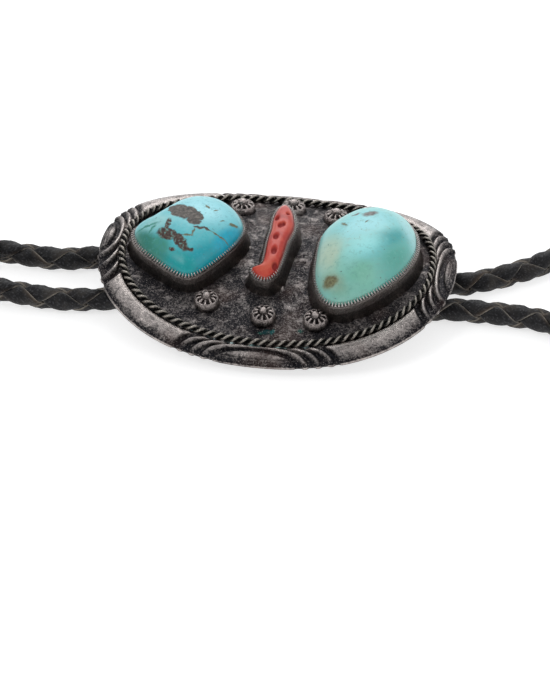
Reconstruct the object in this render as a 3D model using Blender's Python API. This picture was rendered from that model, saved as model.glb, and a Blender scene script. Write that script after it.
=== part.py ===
"""Bolo tie: an oval silver slide with two turquoise stones and a coral, on a round braided leather cord.

Units are metres, +Z is up. The tie lies on a flat surface at Z = 0, face up. The origin is on that
surface, under the middle of the slide. The slide's long axis and the cords run along X. The slide is
laid out flat, with lengths along it and across it, and is then arched across its short axis.
"""
import math

import bmesh
import bpy
from mathutils import Matrix, Vector

# Clearances
CLEARANCE = 0.0003
SURFACE_CLEARANCE = 0.0001

# Oval slide: arched base plate and stamped rim. The half width is measured along the arch. A fullness
# of 2 is an ellipse, and more fills out its corners.
SLIDE_HALF_LENGTH = 0.0274
SLIDE_HALF_WIDTH = 0.02125
SLIDE_FULLNESS = 2.2
ARCH_RADIUS = 0.050
PLATE_THICKNESS = 0.0008
LIP_HEIGHT = 0.0005
RIM_WIDTH = 0.00306
RIM_RISE = 0.0007
RIM_DIVISIONS = 240

# Stamped leaf groups on the rim, one at each end of both axes
LEAF_HALF_LENGTH = 0.0052
LEAF_SHARE_OF_RIM = 0.8
STAMP_PITCH = 0.0023
STAMP_SLANT = 0.0045
STAMP_DEPTH = 0.00030
STAMPS_PER_SIDE = 3
STAMP_GROOVE_SHARE = 0.4
LEAF_GROOVE_PLACE = 1.1
LEAF_GROOVE_SHARE = 0.35

# Twisted wire laid inside the rim. The rest is the height of its middle above the plate.
WIRE_DIAMETER = 0.0014
WIRE_REST = 0.0006
WIRE_TWISTS = 80
TWIST_DEPTH = 0.00016

# Bezels: strips of silver that stand round the stones
BEZEL_WALL = 0.0004
BEZEL_FOOT = 0.0002
BEZEL_DIVISIONS = 40

# Left turquoise, a high rounded rhombus
LEFT_STONE_HALF_LENGTH = 0.00807
LEFT_STONE_HALF_WIDTH = 0.00866
LEFT_STONE_GIRDLE = 0.0026
LEFT_STONE_DOME = 0.0032
LEFT_STONE_PLACE = (-0.600, 0.031)

# Right turquoise, a high pear with its narrow end towards the front
RIGHT_STONE_HALF_LENGTH = 0.00723
RIGHT_STONE_HALF_WIDTH = 0.01017
RIGHT_STONE_GIRDLE = 0.0032
RIGHT_STONE_DOME = 0.0039
RIGHT_STONE_PLACE = (0.597, -0.068)

# Coral, a narrow bar with a small toe at its front end
CORAL_HALF_LENGTH = 0.00243
CORAL_HALF_WIDTH = 0.0087
CORAL_GIRDLE = 0.0026
CORAL_DOME = 0.0011
CORAL_PLACE = (-0.022, 0.0715)

# Rosettes: domed buttons with fluted petals and a ball in the middle
ROSETTE_RADIUS = 0.00195
ROSETTE_HEIGHT = 0.0015
ROSETTE_BALL_RADIUS = 0.0006
ROSETTE_PETALS = 10
PETAL_DEPTH = 0.00022

# Round braided cord and the clip that holds its two runs behind the slide
CORD_DIAMETER = 0.0037
CORD_SPACING = 0.0080
CLIP_LENGTH = 0.026
CLIP_WALL = 0.0007
CLIP_SIDE_WALL = 0.0012
CLIP_EDGE_RADIUS = 0.0005
CLIP_ARCH_STEPS = 8
BORE_SIDES = 20

# Plain metal tips on the free ends
TIP_LENGTH = 0.022
TIP_MOUTH_RADIUS = 0.0025
TIP_END_RADIUS = 0.0016
TIP_SIDES = 20

# Outlines of the stones: columns are the share of the half length and of the half width
LEFT_STONE_OUTLINE = (
    (-1.00, -0.08), (-0.85, -0.43), (-0.49, -0.71), (-0.11, -0.93), (0.18, -1.00), (0.45, -0.82),
    (0.75, -0.45), (0.95, -0.08), (1.00, 0.25), (0.81, 0.64), (0.46, 0.95), (0.06, 1.00),
    (-0.27, 0.82), (-0.51, 0.54), (-0.76, 0.22),
)
RIGHT_STONE_OUTLINE = (
    (-1.00, -0.01), (-0.99, -0.28), (-0.95, -0.56), (-0.83, -0.81), (-0.60, -0.98), (-0.31, -1.00),
    (0.06, -0.87), (0.45, -0.63), (0.81, -0.31), (0.99, 0.03), (1.00, 0.30), (0.89, 0.58),
    (0.59, 0.86), (0.12, 1.00), (-0.29, 0.92), (-0.60, 0.71), (-0.84, 0.47), (-0.98, 0.23),
)

# Sections of the coral from front to back: columns are the share of the half width where each lies,
# and of the half length where its left and right sides are
CORAL_SECTIONS = (
    (-1.00, -0.30, 0.03), (-0.95, -0.67, 0.25), (-0.87, -0.94, 0.46), (-0.82, -1.00, 0.54),
    (-0.76, -0.62, 0.59), (-0.66, -0.41, 0.64), (-0.40, -0.38, 0.73), (-0.09, -0.40, 0.82),
    (0.18, -0.34, 0.98), (0.36, -0.38, 1.00), (0.53, -0.39, 0.88), (0.72, -0.34, 0.70),
    (0.87, -0.23, 0.47), (0.95, -0.14, 0.33), (1.00, 0.03, 0.19),
)
CORAL_SECTION_STEPS = 2

# Section of a cabochon above its girdle: columns are the share of the outline and of the dome
DOME_SECTION = ((0.97, 0.26), (0.86, 0.54), (0.66, 0.79), (0.38, 0.95), (0.12, 1.00))

# Section of the coral above its girdle: columns are the share of its width and of its dome
BAR_SECTION = ((0.92, 0.55), (0.60, 0.92), (0.20, 1.00))

# Share of the coral's dome that is left at its two ends, and how late it falls off
BAR_END_DOME = 0.35
BAR_END_POWER = 6

# Rings that close a wide flat end so that it follows the arch: shares of the outline, inside first
END_SHARES = (0.15, 0.55)

# Section of the stamped rim: columns are the share of its width from the outer edge, and of its rise
RIM_SECTION = ((0.10, 0.40), (0.32, 0.84), (0.60, 1.00), (0.90, 0.62))

# Where the twisted wire's section is read: shares of the half turn over its top
WIRE_SIDES = (0.0, 0.33, 0.67, 1.0)

# Rosettes: columns are the share of the field's half length and of its half width
ROSETTE_PLACES = (
    (-0.400, -0.650), (-0.012, -0.762), (0.332, -0.756),
    (-0.318, 0.775), (0.018, 0.860), (0.321, 0.735),
)

# Section of a rosette: columns are the share of its radius, of its height, and of its petal depth
ROSETTE_SECTION = ((1.00, 0.50, 0.0), (0.92, 0.84, 1.0), (0.66, 0.97, 1.0), (0.36, 1.00, 0.0))

# Section of the ball in the middle of a rosette: columns are shares of its radius
BALL_SECTION = ((1.00, 0.15), (0.92, 0.75), (0.55, 1.25))

# Rounded nose of a tip: columns are the radius and the place along it, as shares of the end's radius
TIP_NOSE = ((1.00, 0.00), (0.75, 0.66), (0.30, 1.00))

# Routes of the cord, in metres. Columns are x and y, from the clip outwards. Heights are worked out.
CORD_END_BACK = (
    (-0.0205, 0.0034), (-0.0286, 0.0021), (-0.0345, 0.0009), (-0.0435, 0.0009),
)
CORD_END_FRONT = (
    (-0.0200, -0.0064), (-0.0268, -0.0081), (-0.0335, -0.0088), (-0.0430, -0.0083),
)
NECK_LOOP = (
    (0.0200, 0.0034), (0.0284, 0.0036), (0.0342, 0.0065), (0.0400, 0.0107), (0.0486, 0.0191),
    (0.0596, 0.0309), (0.0736, 0.0445), (0.0926, 0.0559), (0.1140, 0.0619), (0.1360, 0.0599),
    (0.1550, 0.0489), (0.1670, 0.0319), (0.1710, 0.0119), (0.1660, -0.0071), (0.1530, -0.0231),
    (0.1340, -0.0331), (0.1130, -0.0361), (0.0920, -0.0325), (0.0740, -0.0241), (0.0600, -0.0143),
    (0.0505, -0.0071), (0.0413, -0.0036), (0.0352, -0.0029), (0.0291, -0.0027), (0.0205, -0.0034),
)
CORD_END_STEPS = 16
NECK_LOOP_STEPS = 76

# Places that follow from the sizes above. Heights on the slide count from the plate's underside.
CORD_RADIUS = CORD_DIAMETER / 2
BORE_RADIUS = CORD_RADIUS + CLEARANCE
CORD_HEIGHT_IN_CLIP = CLIP_WALL + BORE_RADIUS
CLIP_HEIGHT = 2 * (CLIP_WALL + BORE_RADIUS)
CLIP_HALF_WIDTH = CORD_SPACING / 2 + BORE_RADIUS + CLIP_SIDE_WALL
CORD_HEIGHT_LYING = CORD_RADIUS + SURFACE_CLEARANCE
TIP_HEIGHT = TIP_MOUTH_RADIUS + SURFACE_CLEARANCE
PLATE_UNDERSIDE = CLIP_HEIGHT + CLEARANCE
FIELD_INSET = RIM_WIDTH + WIRE_DIAMETER
FIELD_HALF_LENGTH = SLIDE_HALF_LENGTH - FIELD_INSET
FIELD_HALF_WIDTH = SLIDE_HALF_WIDTH - FIELD_INSET

# Finishes: columns are red, green, blue, metallic and roughness
FINISHES = {
    "oxidised_silver": ((0.20, 0.18, 0.17), 1.0, 0.42),
    "turquoise": ((0.10, 0.52, 0.55), 0.0, 0.22),
    "coral": ((0.62, 0.10, 0.07), 0.0, 0.30),
    "black_leather": ((0.018, 0.017, 0.018), 0.0, 0.55),
    "plain_steel": ((0.45, 0.44, 0.43), 1.0, 0.35),
}


def clear_scene():
    """Remove what the file opens with."""
    for thing in list(bpy.data.objects):
        bpy.data.objects.remove(thing, do_unlink=True)


def finish(name):
    """Return the material of that name, made once."""
    material = bpy.data.materials.get(name)
    if material:
        return material
    colour, metallic, roughness = FINISHES[name]
    material = bpy.data.materials.new(name)
    material.use_nodes = True
    shader = material.node_tree.nodes["Principled BSDF"]
    shader.inputs["Base Color"].default_value = (*colour, 1.0)
    shader.inputs["Metallic"].default_value = metallic
    shader.inputs["Roughness"].default_value = roughness
    material.diffuse_color = (*colour, 1.0)
    return material


def fill_end(shape, loop):
    """Close a loop with one face."""
    shape.faces.new(loop)


def fill_arched_end(shape, loop):
    """Close an oval loop with strips along X, which stay flat where the slide is arched."""
    count = len(loop)
    quarter = count // 4
    for i in range(-quarter, quarter):
        strip = (loop[i], loop[i + 1], loop[count // 2 - i - 1], loop[(count // 2 - i) % count])
        corners = list(dict.fromkeys(strip))
        shape.faces.new(corners)


def add_solid(name, rings, material, fill=fill_end):
    """Join rings of points into one closed solid, with an end on the first and last ring."""
    shape = bmesh.new()
    loops = [[shape.verts.new(point) for point in ring] for ring in rings]
    count = len(rings[0])
    fill(shape, loops[0])
    fill(shape, loops[-1])
    for below, above in zip(loops, loops[1:]):
        for i in range(count):
            j = (i + 1) % count
            shape.faces.new((below[i], below[j], above[j], above[i]))
    bmesh.ops.recalc_face_normals(shape, faces=shape.faces)
    mesh = bpy.data.meshes.new(name)
    shape.to_mesh(mesh)
    shape.free()
    mesh.shade_smooth()
    mesh.set_sharp_from_angle(angle=math.radians(35))
    mesh.materials.append(finish(material))
    piece = bpy.data.objects.new(name, mesh)
    bpy.context.collection.objects.link(piece)
    return piece


def make_cutter(piece):
    """Keep a shape as a guide for a cut or a join."""
    piece.hide_render = True
    piece.display_type = "WIRE"
    return piece


def combine(piece, other, operation):
    """Join another solid to the piece, or cut it away."""
    modifier = piece.modifiers.new(other.name, "BOOLEAN")
    modifier.operation = operation
    modifier.solver = "EXACT"
    modifier.object = make_cutter(other)


def arched(x, across, height):
    """Place a point of the flat layout on the arch. The height counts from the plate's underside."""
    turn = across / ARCH_RADIUS
    radius = ARCH_RADIUS + height
    return Vector((x, radius * math.sin(turn), PLATE_UNDERSIDE + radius * math.cos(turn) - ARCH_RADIUS))


def full_share(value):
    """Push a sine or cosine outwards, which fills out the corners of an ellipse."""
    return math.copysign(abs(value) ** (2 / SLIDE_FULLNESS), value)


def oval_point(angle, inset, height):
    """A point of the slide's oval, moved in from its outer edge."""
    x = (SLIDE_HALF_LENGTH - inset) * full_share(math.cos(angle))
    across = (SLIDE_HALF_WIDTH - inset) * full_share(math.sin(angle))
    return arched(x, across, height)


def rim_angles():
    return [2 * math.pi * i / RIM_DIVISIONS for i in range(RIM_DIVISIONS)]


def distance_to_stamp(angle):
    """Length along the rim from the nearest end of an axis, where a leaf is stamped."""
    quarter = math.pi / 2
    nearest = round(angle / quarter) * quarter
    middle = (angle + nearest) / 2
    speed = math.hypot(SLIDE_HALF_LENGTH * math.sin(middle), SLIDE_HALF_WIDTH * math.cos(middle))
    return abs(angle - nearest) * speed


def groove(distance, width):
    """Depth of a round groove as a share, one on its line and nothing past its width."""
    share = abs(distance) / width
    return max(0.0, 1.0 - share * share)


def stamp_relief(angle, across):
    """How far the stamps press the rim down, across it from the outer edge (0) to the wire (1)."""
    along = distance_to_stamp(angle)
    leaf = (along / LEAF_HALF_LENGTH) ** 2 + across / LEAF_SHARE_OF_RIM
    depth = groove(leaf - LEAF_GROOVE_PLACE, LEAF_GROOVE_SHARE)
    phase = along + STAMP_SLANT * across - LEAF_HALF_LENGTH
    for i in range(1, STAMPS_PER_SIDE + 1):
        line = phase - i * STAMP_PITCH
        depth = max(depth, groove(line, STAMP_PITCH * STAMP_GROOVE_SHARE))
    return STAMP_DEPTH * depth


def rim_rings():
    """The slide's section from the underside over the lip and the rim to the twisted wire."""
    angles = rim_angles()
    rings = [
        [oval_point(angle, 0.0, 0.0) for angle in angles],
        [oval_point(angle, 0.0, LIP_HEIGHT) for angle in angles],
    ]
    for width_share, rise_share in RIM_SECTION:
        ring = []
        for angle in angles:
            height = LIP_HEIGHT + (PLATE_THICKNESS + RIM_RISE - LIP_HEIGHT) * rise_share
            height -= stamp_relief(angle, width_share)
            ring.append(oval_point(angle, RIM_WIDTH * width_share, height))
        rings.append(ring)
    return rings


def wire_rings():
    """The upper half of the twisted wire. Its twist is a wave that shifts from ring to ring."""
    rings = []
    for share in WIRE_SIDES:
        ring = []
        for angle in rim_angles():
            wave = 0.5 + 0.5 * math.cos(WIRE_TWISTS * angle + 2 * math.pi * share)
            radius = WIRE_DIAMETER / 2 - TWIST_DEPTH * wave
            turn = math.pi * share
            inset = RIM_WIDTH + WIRE_DIAMETER / 2 - radius * math.cos(turn)
            height = PLATE_THICKNESS + WIRE_REST + radius * math.sin(turn)
            ring.append(oval_point(angle, inset, height))
        rings.append(ring)
    rings.append([oval_point(angle, FIELD_INSET, PLATE_THICKNESS) for angle in rim_angles()])
    return rings


def smooth_loop(points, count):
    """Read a closed smooth curve through the points, evenly in count steps."""
    total = len(points)
    curve = []
    for step in range(count):
        place = step * total / count
        i = int(place)
        t = place - i
        p0, p1, p2, p3 = (points[(i + k) % total] for k in (-1, 0, 1, 2))
        curve.append(tuple(spline_value(p0[k], p1[k], p2[k], p3[k], t) for k in (0, 1)))
    return curve


def spline_value(a, b, c, d, t):
    """One coordinate of a Catmull-Rom curve between b and c."""
    return 0.5 * (2 * b + (c - a) * t + (2 * a - 5 * b + 4 * c - d) * t * t + (3 * b - a - 3 * c + d) * t ** 3)


def offset_outline(outline, distance):
    """Move each point of a closed outline outwards along its own normal."""
    total = len(outline)
    area = sum(outline[i - 1][0] * outline[i][1] - outline[i][0] * outline[i - 1][1] for i in range(total))
    side = 1.0 if area > 0 else -1.0
    moved = []
    for i, (x, y) in enumerate(outline):
        before = outline[i - 1]
        after = outline[(i + 1) % total]
        run = Vector((after[0] - before[0], after[1] - before[1])).normalized()
        moved.append((x + side * distance * run.y, y - side * distance * run.x))
    return moved


class Stone:
    """A cabochon: its outline at the girdle, its place on the field and its heights."""

    def __init__(self, name, shape, half_length, half_width, girdle, dome, place):
        self.name = name
        self.girdle = girdle
        self.dome = dome
        self.centre = (place[0] * FIELD_HALF_LENGTH, place[1] * FIELD_HALF_WIDTH)
        shares = smooth_loop(shape, BEZEL_DIVISIONS)
        self.outline = [(x * half_length, y * half_width) for x, y in shares]

    def ring(self, offset, share, height):
        """The outline, moved out by an offset, drawn in to a share of itself, at a height."""
        points = offset_outline(self.outline, offset)
        return [arched(self.centre[0] + x * share, self.centre[1] + y * share, height) for x, y in points]

    def rings(self, offset, floor):
        """The stone's own shape, made larger all round by an offset."""
        girdle = PLATE_THICKNESS + self.girdle
        rings = [self.ring(offset, share, floor) for share in (*END_SHARES, 1.0)]
        rings.append(self.ring(offset, 1.0, girdle))
        for outline_share, dome_share in DOME_SECTION:
            rings.append(self.ring(offset, outline_share, girdle + offset + self.dome * dome_share))
        return rings

    def block(self, reach, foot, top):
        """The outline moved out by a reach, straight up from a foot to a top."""
        rings = [self.ring(reach, share, foot) for share in (*END_SHARES, 1.0)]
        return rings + [self.ring(reach, share, top) for share in (1.0, *reversed(END_SHARES))]


class Bar:
    """The coral: sections from front to back, each with its own left and right side."""

    def __init__(self, name, sections, half_length, half_width, girdle, dome, place):
        self.name = name
        self.girdle = girdle
        self.dome = dome
        self.centre = (place[0] * FIELD_HALF_LENGTH, place[1] * FIELD_HALF_WIDTH)
        self.rows = []
        last = len(sections) - 1
        for step in range(last * CORAL_SECTION_STEPS + 1):
            i = min(step // CORAL_SECTION_STEPS, last - 1)
            t = step / CORAL_SECTION_STEPS - i
            rows = [sections[min(max(i + k, 0), last)] for k in (-1, 0, 1, 2)]
            place_share, left, right = (spline_value(*(row[k] for row in rows), t) for k in range(3))
            self.rows.append((place_share, left * half_length, right * half_length))
        self.half_width = half_width

    def frames(self, offset):
        """Each section's place across the slide, its sides and its share of the dome."""
        for place_share, left, right in self.rows:
            along = place_share * self.half_width
            if abs(place_share) == 1.0:
                along += math.copysign(offset, place_share)
            dome_share = 1.0 - (1.0 - BAR_END_DOME) * abs(place_share) ** BAR_END_POWER
            middle_x, middle_y = self.centre
            yield middle_y + along, middle_x + left - offset, middle_x + right + offset, dome_share

    def rings(self, offset, floor):
        """The coral's own shape, made larger all round by an offset."""
        girdle = PLATE_THICKNESS + self.girdle
        rings = []
        for along, left, right, dome_share in self.frames(offset):
            middle = (left + right) / 2
            half = (right - left) / 2
            crown = [
                (half * share, girdle + offset + self.dome * height_share * dome_share)
                for share, height_share in BAR_SECTION
            ]
            side = [(half, floor), (half, girdle), *crown]
            ring = [arched(middle + reach, along, height) for reach, height in side]
            ring += [arched(middle - reach, along, height) for reach, height in reversed(side)]
            rings.append(ring)
        return rings

    def block(self, reach, foot, top):
        """The outline moved out by a reach, straight up from a foot to a top."""
        return [
            [arched(left, along, foot), arched(right, along, foot),
             arched(right, along, top), arched(left, along, top)]
            for along, left, right, _ in self.frames(reach)
        ]


def make_stones():
    return [
        Stone("turquoise_left", LEFT_STONE_OUTLINE, LEFT_STONE_HALF_LENGTH, LEFT_STONE_HALF_WIDTH,
              LEFT_STONE_GIRDLE, LEFT_STONE_DOME, LEFT_STONE_PLACE),
        Stone("turquoise_right", RIGHT_STONE_OUTLINE, RIGHT_STONE_HALF_LENGTH, RIGHT_STONE_HALF_WIDTH,
              RIGHT_STONE_GIRDLE, RIGHT_STONE_DOME, RIGHT_STONE_PLACE),
        Bar("coral", CORAL_SECTIONS, CORAL_HALF_LENGTH, CORAL_HALF_WIDTH,
            CORAL_GIRDLE, CORAL_DOME, CORAL_PLACE),
    ]


def bezel_block(stone):
    """The bezel before its pocket is cut: the stone's outline with the wall round it."""
    top = PLATE_THICKNESS + stone.girdle + CLEARANCE + stone.dome * DOME_SECTION[0][1] / 2
    rings = stone.block(CLEARANCE + BEZEL_WALL, PLATE_THICKNESS / 2, top)
    return add_solid(stone.name + "_bezel", rings, "oxidised_silver")


def pocket(stone):
    """What the stone needs inside its bezel, with a clearance all round."""
    return add_solid(stone.name + "_pocket", stone.rings(CLEARANCE, PLATE_THICKNESS + BEZEL_FOOT),
                     "oxidised_silver")


def rosette(index, x_share, y_share):
    """A domed button with fluted petals and a ball, sunk a little into the field."""
    x = x_share * FIELD_HALF_LENGTH
    y = y_share * FIELD_HALF_WIDTH
    sides = 2 * ROSETTE_PETALS

    def ring(radius, level, petal):
        points = []
        for i in range(sides):
            turn = 2 * math.pi * i / sides
            fluted = radius - PETAL_DEPTH * petal * (i % 2)
            points.append(arched(x + fluted * math.cos(turn), y + fluted * math.sin(turn), level))
        return points

    rings = [ring(ROSETTE_RADIUS, PLATE_THICKNESS / 2, 0.0)]
    for radius_share, height_share, petal in ROSETTE_SECTION:
        level = PLATE_THICKNESS + ROSETTE_HEIGHT * height_share
        rings.append(ring(ROSETTE_RADIUS * radius_share, level, petal))
    for radius_share, height_share in BALL_SECTION:
        level = PLATE_THICKNESS + ROSETTE_HEIGHT + ROSETTE_BALL_RADIUS * height_share
        rings.append(ring(ROSETTE_BALL_RADIUS * radius_share, level, 0.0))
    return add_solid(f"rosette_{index}", rings, "oxidised_silver")


def make_slide(stones):
    """Plate, rim, twisted wire, bezels and rosettes, soldered into one solid."""
    slide = add_solid("slide", rim_rings() + wire_rings(), "oxidised_silver", fill_arched_end)
    for stone in stones:
        combine(slide, bezel_block(stone), "UNION")
    for index, (x_share, y_share) in enumerate(ROSETTE_PLACES):
        combine(slide, rosette(index, x_share, y_share), "UNION")
    for stone in stones:
        combine(slide, pocket(stone), "DIFFERENCE")
    return slide


def make_stone_solids(stones):
    for stone in stones:
        floor = PLATE_THICKNESS + BEZEL_FOOT + CLEARANCE
        material = "coral" if stone.name == "coral" else "turquoise"
        add_solid(stone.name, stone.rings(0.0, floor), material)


def bore_centres():
    """Where the two runs of cord pass through the clip: back run first."""
    return (CORD_SPACING / 2, -CORD_SPACING / 2)


def make_clip():
    """A plain metal block with two bores, between the slide's arch and the surface."""
    section = [(-CLIP_HALF_WIDTH, 0.0), (CLIP_HALF_WIDTH, 0.0)]
    for i in range(CLIP_ARCH_STEPS + 1):
        y = CLIP_HALF_WIDTH * (1 - 2 * i / CLIP_ARCH_STEPS)
        section.append((y, CLIP_HEIGHT - ARCH_RADIUS + math.sqrt(ARCH_RADIUS ** 2 - y ** 2)))
    rings = [[Vector((x, y, level)) for y, level in section] for x in (-CLIP_LENGTH / 2, CLIP_LENGTH / 2)]
    clip = add_solid("cord_clip", rings, "plain_steel")
    bevel = clip.modifiers.new("edges", "BEVEL")
    bevel.width = CLIP_EDGE_RADIUS
    bevel.segments = 2
    bevel.limit_method = "ANGLE"
    for index, y in enumerate(bore_centres()):
        ends = (-CLIP_LENGTH, CLIP_LENGTH)
        bore = [
            [
                Vector((x, y + BORE_RADIUS * math.cos(2 * math.pi * i / BORE_SIDES),
                        CORD_HEIGHT_IN_CLIP + BORE_RADIUS * math.sin(2 * math.pi * i / BORE_SIDES)))
                for i in range(BORE_SIDES)
            ]
            for x in ends
        ]
        combine(clip, add_solid(f"bore_{index}", bore, "plain_steel"), "DIFFERENCE")
    return clip


def smooth_route(points, count):
    """Read an open smooth curve through the points at evenly spaced places along it."""
    fine = []
    last = len(points) - 1
    for i in range(last):
        p0 = points[max(i - 1, 0)]
        p3 = points[min(i + 2, last)]
        for step in range(12):
            t = step / 12
            fine.append(Vector(tuple(
                spline_value(p0[k], points[i][k], points[i + 1][k], p3[k], t) for k in range(3)
            )))
    fine.append(Vector(points[-1]))
    lengths = [0.0]
    for before, after in zip(fine, fine[1:]):
        lengths.append(lengths[-1] + (after - before).length)
    route = []
    k = 0
    for step in range(count):
        wanted = lengths[-1] * step / (count - 1)
        while k < len(fine) - 2 and lengths[k + 1] < wanted:
            k += 1
        share = (wanted - lengths[k]) / (lengths[k + 1] - lengths[k])
        route.append(fine[k].lerp(fine[k + 1], share))
    return route


def lying(points):
    return [(x, y, CORD_HEIGHT_LYING) for x, y in points]


def clip_run(side, y):
    """The stretch inside the clip, from its middle to its mouth on one side."""
    start = side * CLEARANCE / 2
    mouth = side * CLIP_LENGTH / 2
    return [(start, y, CORD_HEIGHT_IN_CLIP), (mouth / 2, y, CORD_HEIGHT_IN_CLIP),
            (mouth, y, CORD_HEIGHT_IN_CLIP)]


def add_cord(name, route, count):
    """A round tube with flat closed ends along a route."""
    curve = bpy.data.curves.new(name, "CURVE")
    curve.dimensions = "3D"
    curve.bevel_depth = CORD_RADIUS
    curve.bevel_resolution = 2
    curve.use_fill_caps = True
    spline = curve.splines.new("POLY")
    points = smooth_route(route, count)
    spline.points.add(len(points) - 1)
    for point, place in zip(spline.points, points):
        point.co = (*place, 1.0)
    curve.materials.append(finish("black_leather"))
    piece = bpy.data.objects.new(name, curve)
    bpy.context.collection.objects.link(piece)
    return points


def add_tip(name, points):
    """A plain tapered tip, lying on the surface past the end of its cord."""
    heading = (points[-1] - points[-2])
    heading.z = 0.0
    heading.normalize()
    slope = (TIP_MOUTH_RADIUS - TIP_END_RADIUS) / TIP_LENGTH
    axis = Vector((heading.x, heading.y, -slope)).normalized()
    turn = axis.to_track_quat("Z", "Y").to_matrix().to_4x4()
    place = Matrix.Translation(points[-1] + axis * CLEARANCE) @ turn
    taper = TIP_LENGTH - TIP_END_RADIUS
    section = [(TIP_MOUTH_RADIUS - CLEARANCE, 0.0), (TIP_MOUTH_RADIUS, CLEARANCE)]
    for radius_share, along_share in TIP_NOSE:
        section.append((TIP_END_RADIUS * radius_share, taper + TIP_END_RADIUS * along_share))
    rings = []
    for radius, along in section:
        rings.append([
            place @ Vector((radius * math.cos(2 * math.pi * i / TIP_SIDES),
                            radius * math.sin(2 * math.pi * i / TIP_SIDES), along))
            for i in range(TIP_SIDES)
        ])
    return add_solid(name, rings, "plain_steel")


def make_cords():
    """Two free ends to the left, and the loop for the neck to the right."""
    back, front = bore_centres()
    for name, y, shown in (("back", back, CORD_END_BACK), ("front", front, CORD_END_FRONT)):
        points = lying(shown)
        x, y_end, _ = points[-1]
        points[-1] = (x, y_end, TIP_HEIGHT)
        route = clip_run(-1, y) + points
        centreline = add_cord("cord_end_" + name, route, CORD_END_STEPS)
        add_tip("cord_tip_" + name, centreline)
    loop = clip_run(1, back) + lying(NECK_LOOP) + list(reversed(clip_run(1, front)))
    add_cord("neck_loop", loop, NECK_LOOP_STEPS)


def main():
    clear_scene()
    stones = make_stones()
    make_slide(stones)
    make_stone_solids(stones)
    make_clip()
    make_cords()


main()
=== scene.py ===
# %% [markdown]
# # Bolo tie
# A bolo tie is a braided leather cord with a decorated slide. This one has an arched oval slide of
# oxidised silver with two turquoise stones and a coral, lying face up on a pale surface.
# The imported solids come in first. Each finer piece below takes the place of one of them, so it is made
# from the same sizes. Lengths are in metres, and the slide is laid out flat before it is arched.

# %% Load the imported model
import math

import bmesh
import bpy
from mathutils import Matrix, Vector, noise


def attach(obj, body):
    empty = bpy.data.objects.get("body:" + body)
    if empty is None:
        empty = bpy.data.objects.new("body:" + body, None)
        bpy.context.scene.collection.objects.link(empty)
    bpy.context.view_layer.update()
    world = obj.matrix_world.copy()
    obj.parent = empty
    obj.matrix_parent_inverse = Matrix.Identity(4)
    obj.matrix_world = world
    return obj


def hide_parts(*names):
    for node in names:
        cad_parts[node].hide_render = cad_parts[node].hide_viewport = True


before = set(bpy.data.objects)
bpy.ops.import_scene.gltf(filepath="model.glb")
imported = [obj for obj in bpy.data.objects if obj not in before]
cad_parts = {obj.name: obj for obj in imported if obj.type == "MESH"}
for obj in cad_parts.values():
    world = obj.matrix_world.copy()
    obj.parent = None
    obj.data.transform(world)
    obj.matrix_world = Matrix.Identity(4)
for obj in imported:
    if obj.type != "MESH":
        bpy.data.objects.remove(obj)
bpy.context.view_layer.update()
MM = 0.001
print("nodes:", ", ".join(sorted(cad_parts)))

# %% [markdown]
# ## Camera
# The photograph looks down on the slide from a height of 39 degrees, a little from the right. A long lens
# from 0.7 m keeps the far edge almost as large as the near edge. The target is the point that lies in the
# middle of the picture, in front of the slide.

# %% Camera
CLIP_WALL = 0.7 * MM
CLIP_LENGTH = 26 * MM
CLEARANCE = 0.3 * MM
CORD_DIAMETER = 3.7 * MM
CORD_RADIUS = CORD_DIAMETER / 2
CORD_SPACING = 8 * MM
PLATE_UNDERSIDE = 2 * (CLIP_WALL + CORD_RADIUS + CLEARANCE) + CLEARANCE

CAMERA_TURN = math.radians(8.245)
CAMERA_HEIGHT = math.radians(39)
CAMERA_DISTANCE = 0.70
PIXELS_PER_METRE = 6720
FRAME_HEIGHT = 688
SENSOR = 36.0


def add_object(name, data):
    """Put a camera, lamp, curve or mesh in the scene."""
    thing = bpy.data.objects.new(name, data)
    bpy.context.collection.objects.link(thing)
    return thing


def place_camera():
    """Put the camera where the photograph was taken from."""
    right = Vector((math.cos(CAMERA_TURN), math.sin(CAMERA_TURN), 0))
    ahead = Vector((-math.sin(CAMERA_TURN), math.cos(CAMERA_TURN), 0))
    target = right * -0.37 * MM + ahead * -19.98 * MM + Vector((0, 0, PLATE_UNDERSIDE))
    back = ahead * -math.cos(CAMERA_HEIGHT) + Vector((0, 0, math.sin(CAMERA_HEIGHT)))
    lens = bpy.data.cameras.new("camera")
    lens.sensor_width = SENSOR
    lens.lens = PIXELS_PER_METRE * CAMERA_DISTANCE * SENSOR / FRAME_HEIGHT
    lens.clip_start = 0.01
    camera = add_object("camera", lens)
    camera.location = target + back * CAMERA_DISTANCE
    camera.rotation_euler = back.to_track_quat("Z", "Y").to_euler()
    bpy.context.scene.camera = camera
    return camera


camera = place_camera()
print("lens, mm:", round(camera.data.lens, 1))

# %% [markdown]
# ## Node helper and colours
# Both materials and Geometry Nodes are trees of nodes, so one small function adds any node, sets its
# fields and feeds its sockets. Colours are written as on a screen, in sRGB hex, and Blender wants them
# linear, so one function turns them.

# %% Node helper and colours
def linear(code):
    """Turn an sRGB hex colour into linear red, green, blue and alpha."""
    values = [int(code[i:i + 2], 16) / 255 for i in (1, 3, 5)]
    return (*[v / 12.92 if v <= 0.04045 else ((v + 0.055) / 1.055) ** 2.4 for v in values], 1.0)


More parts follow.
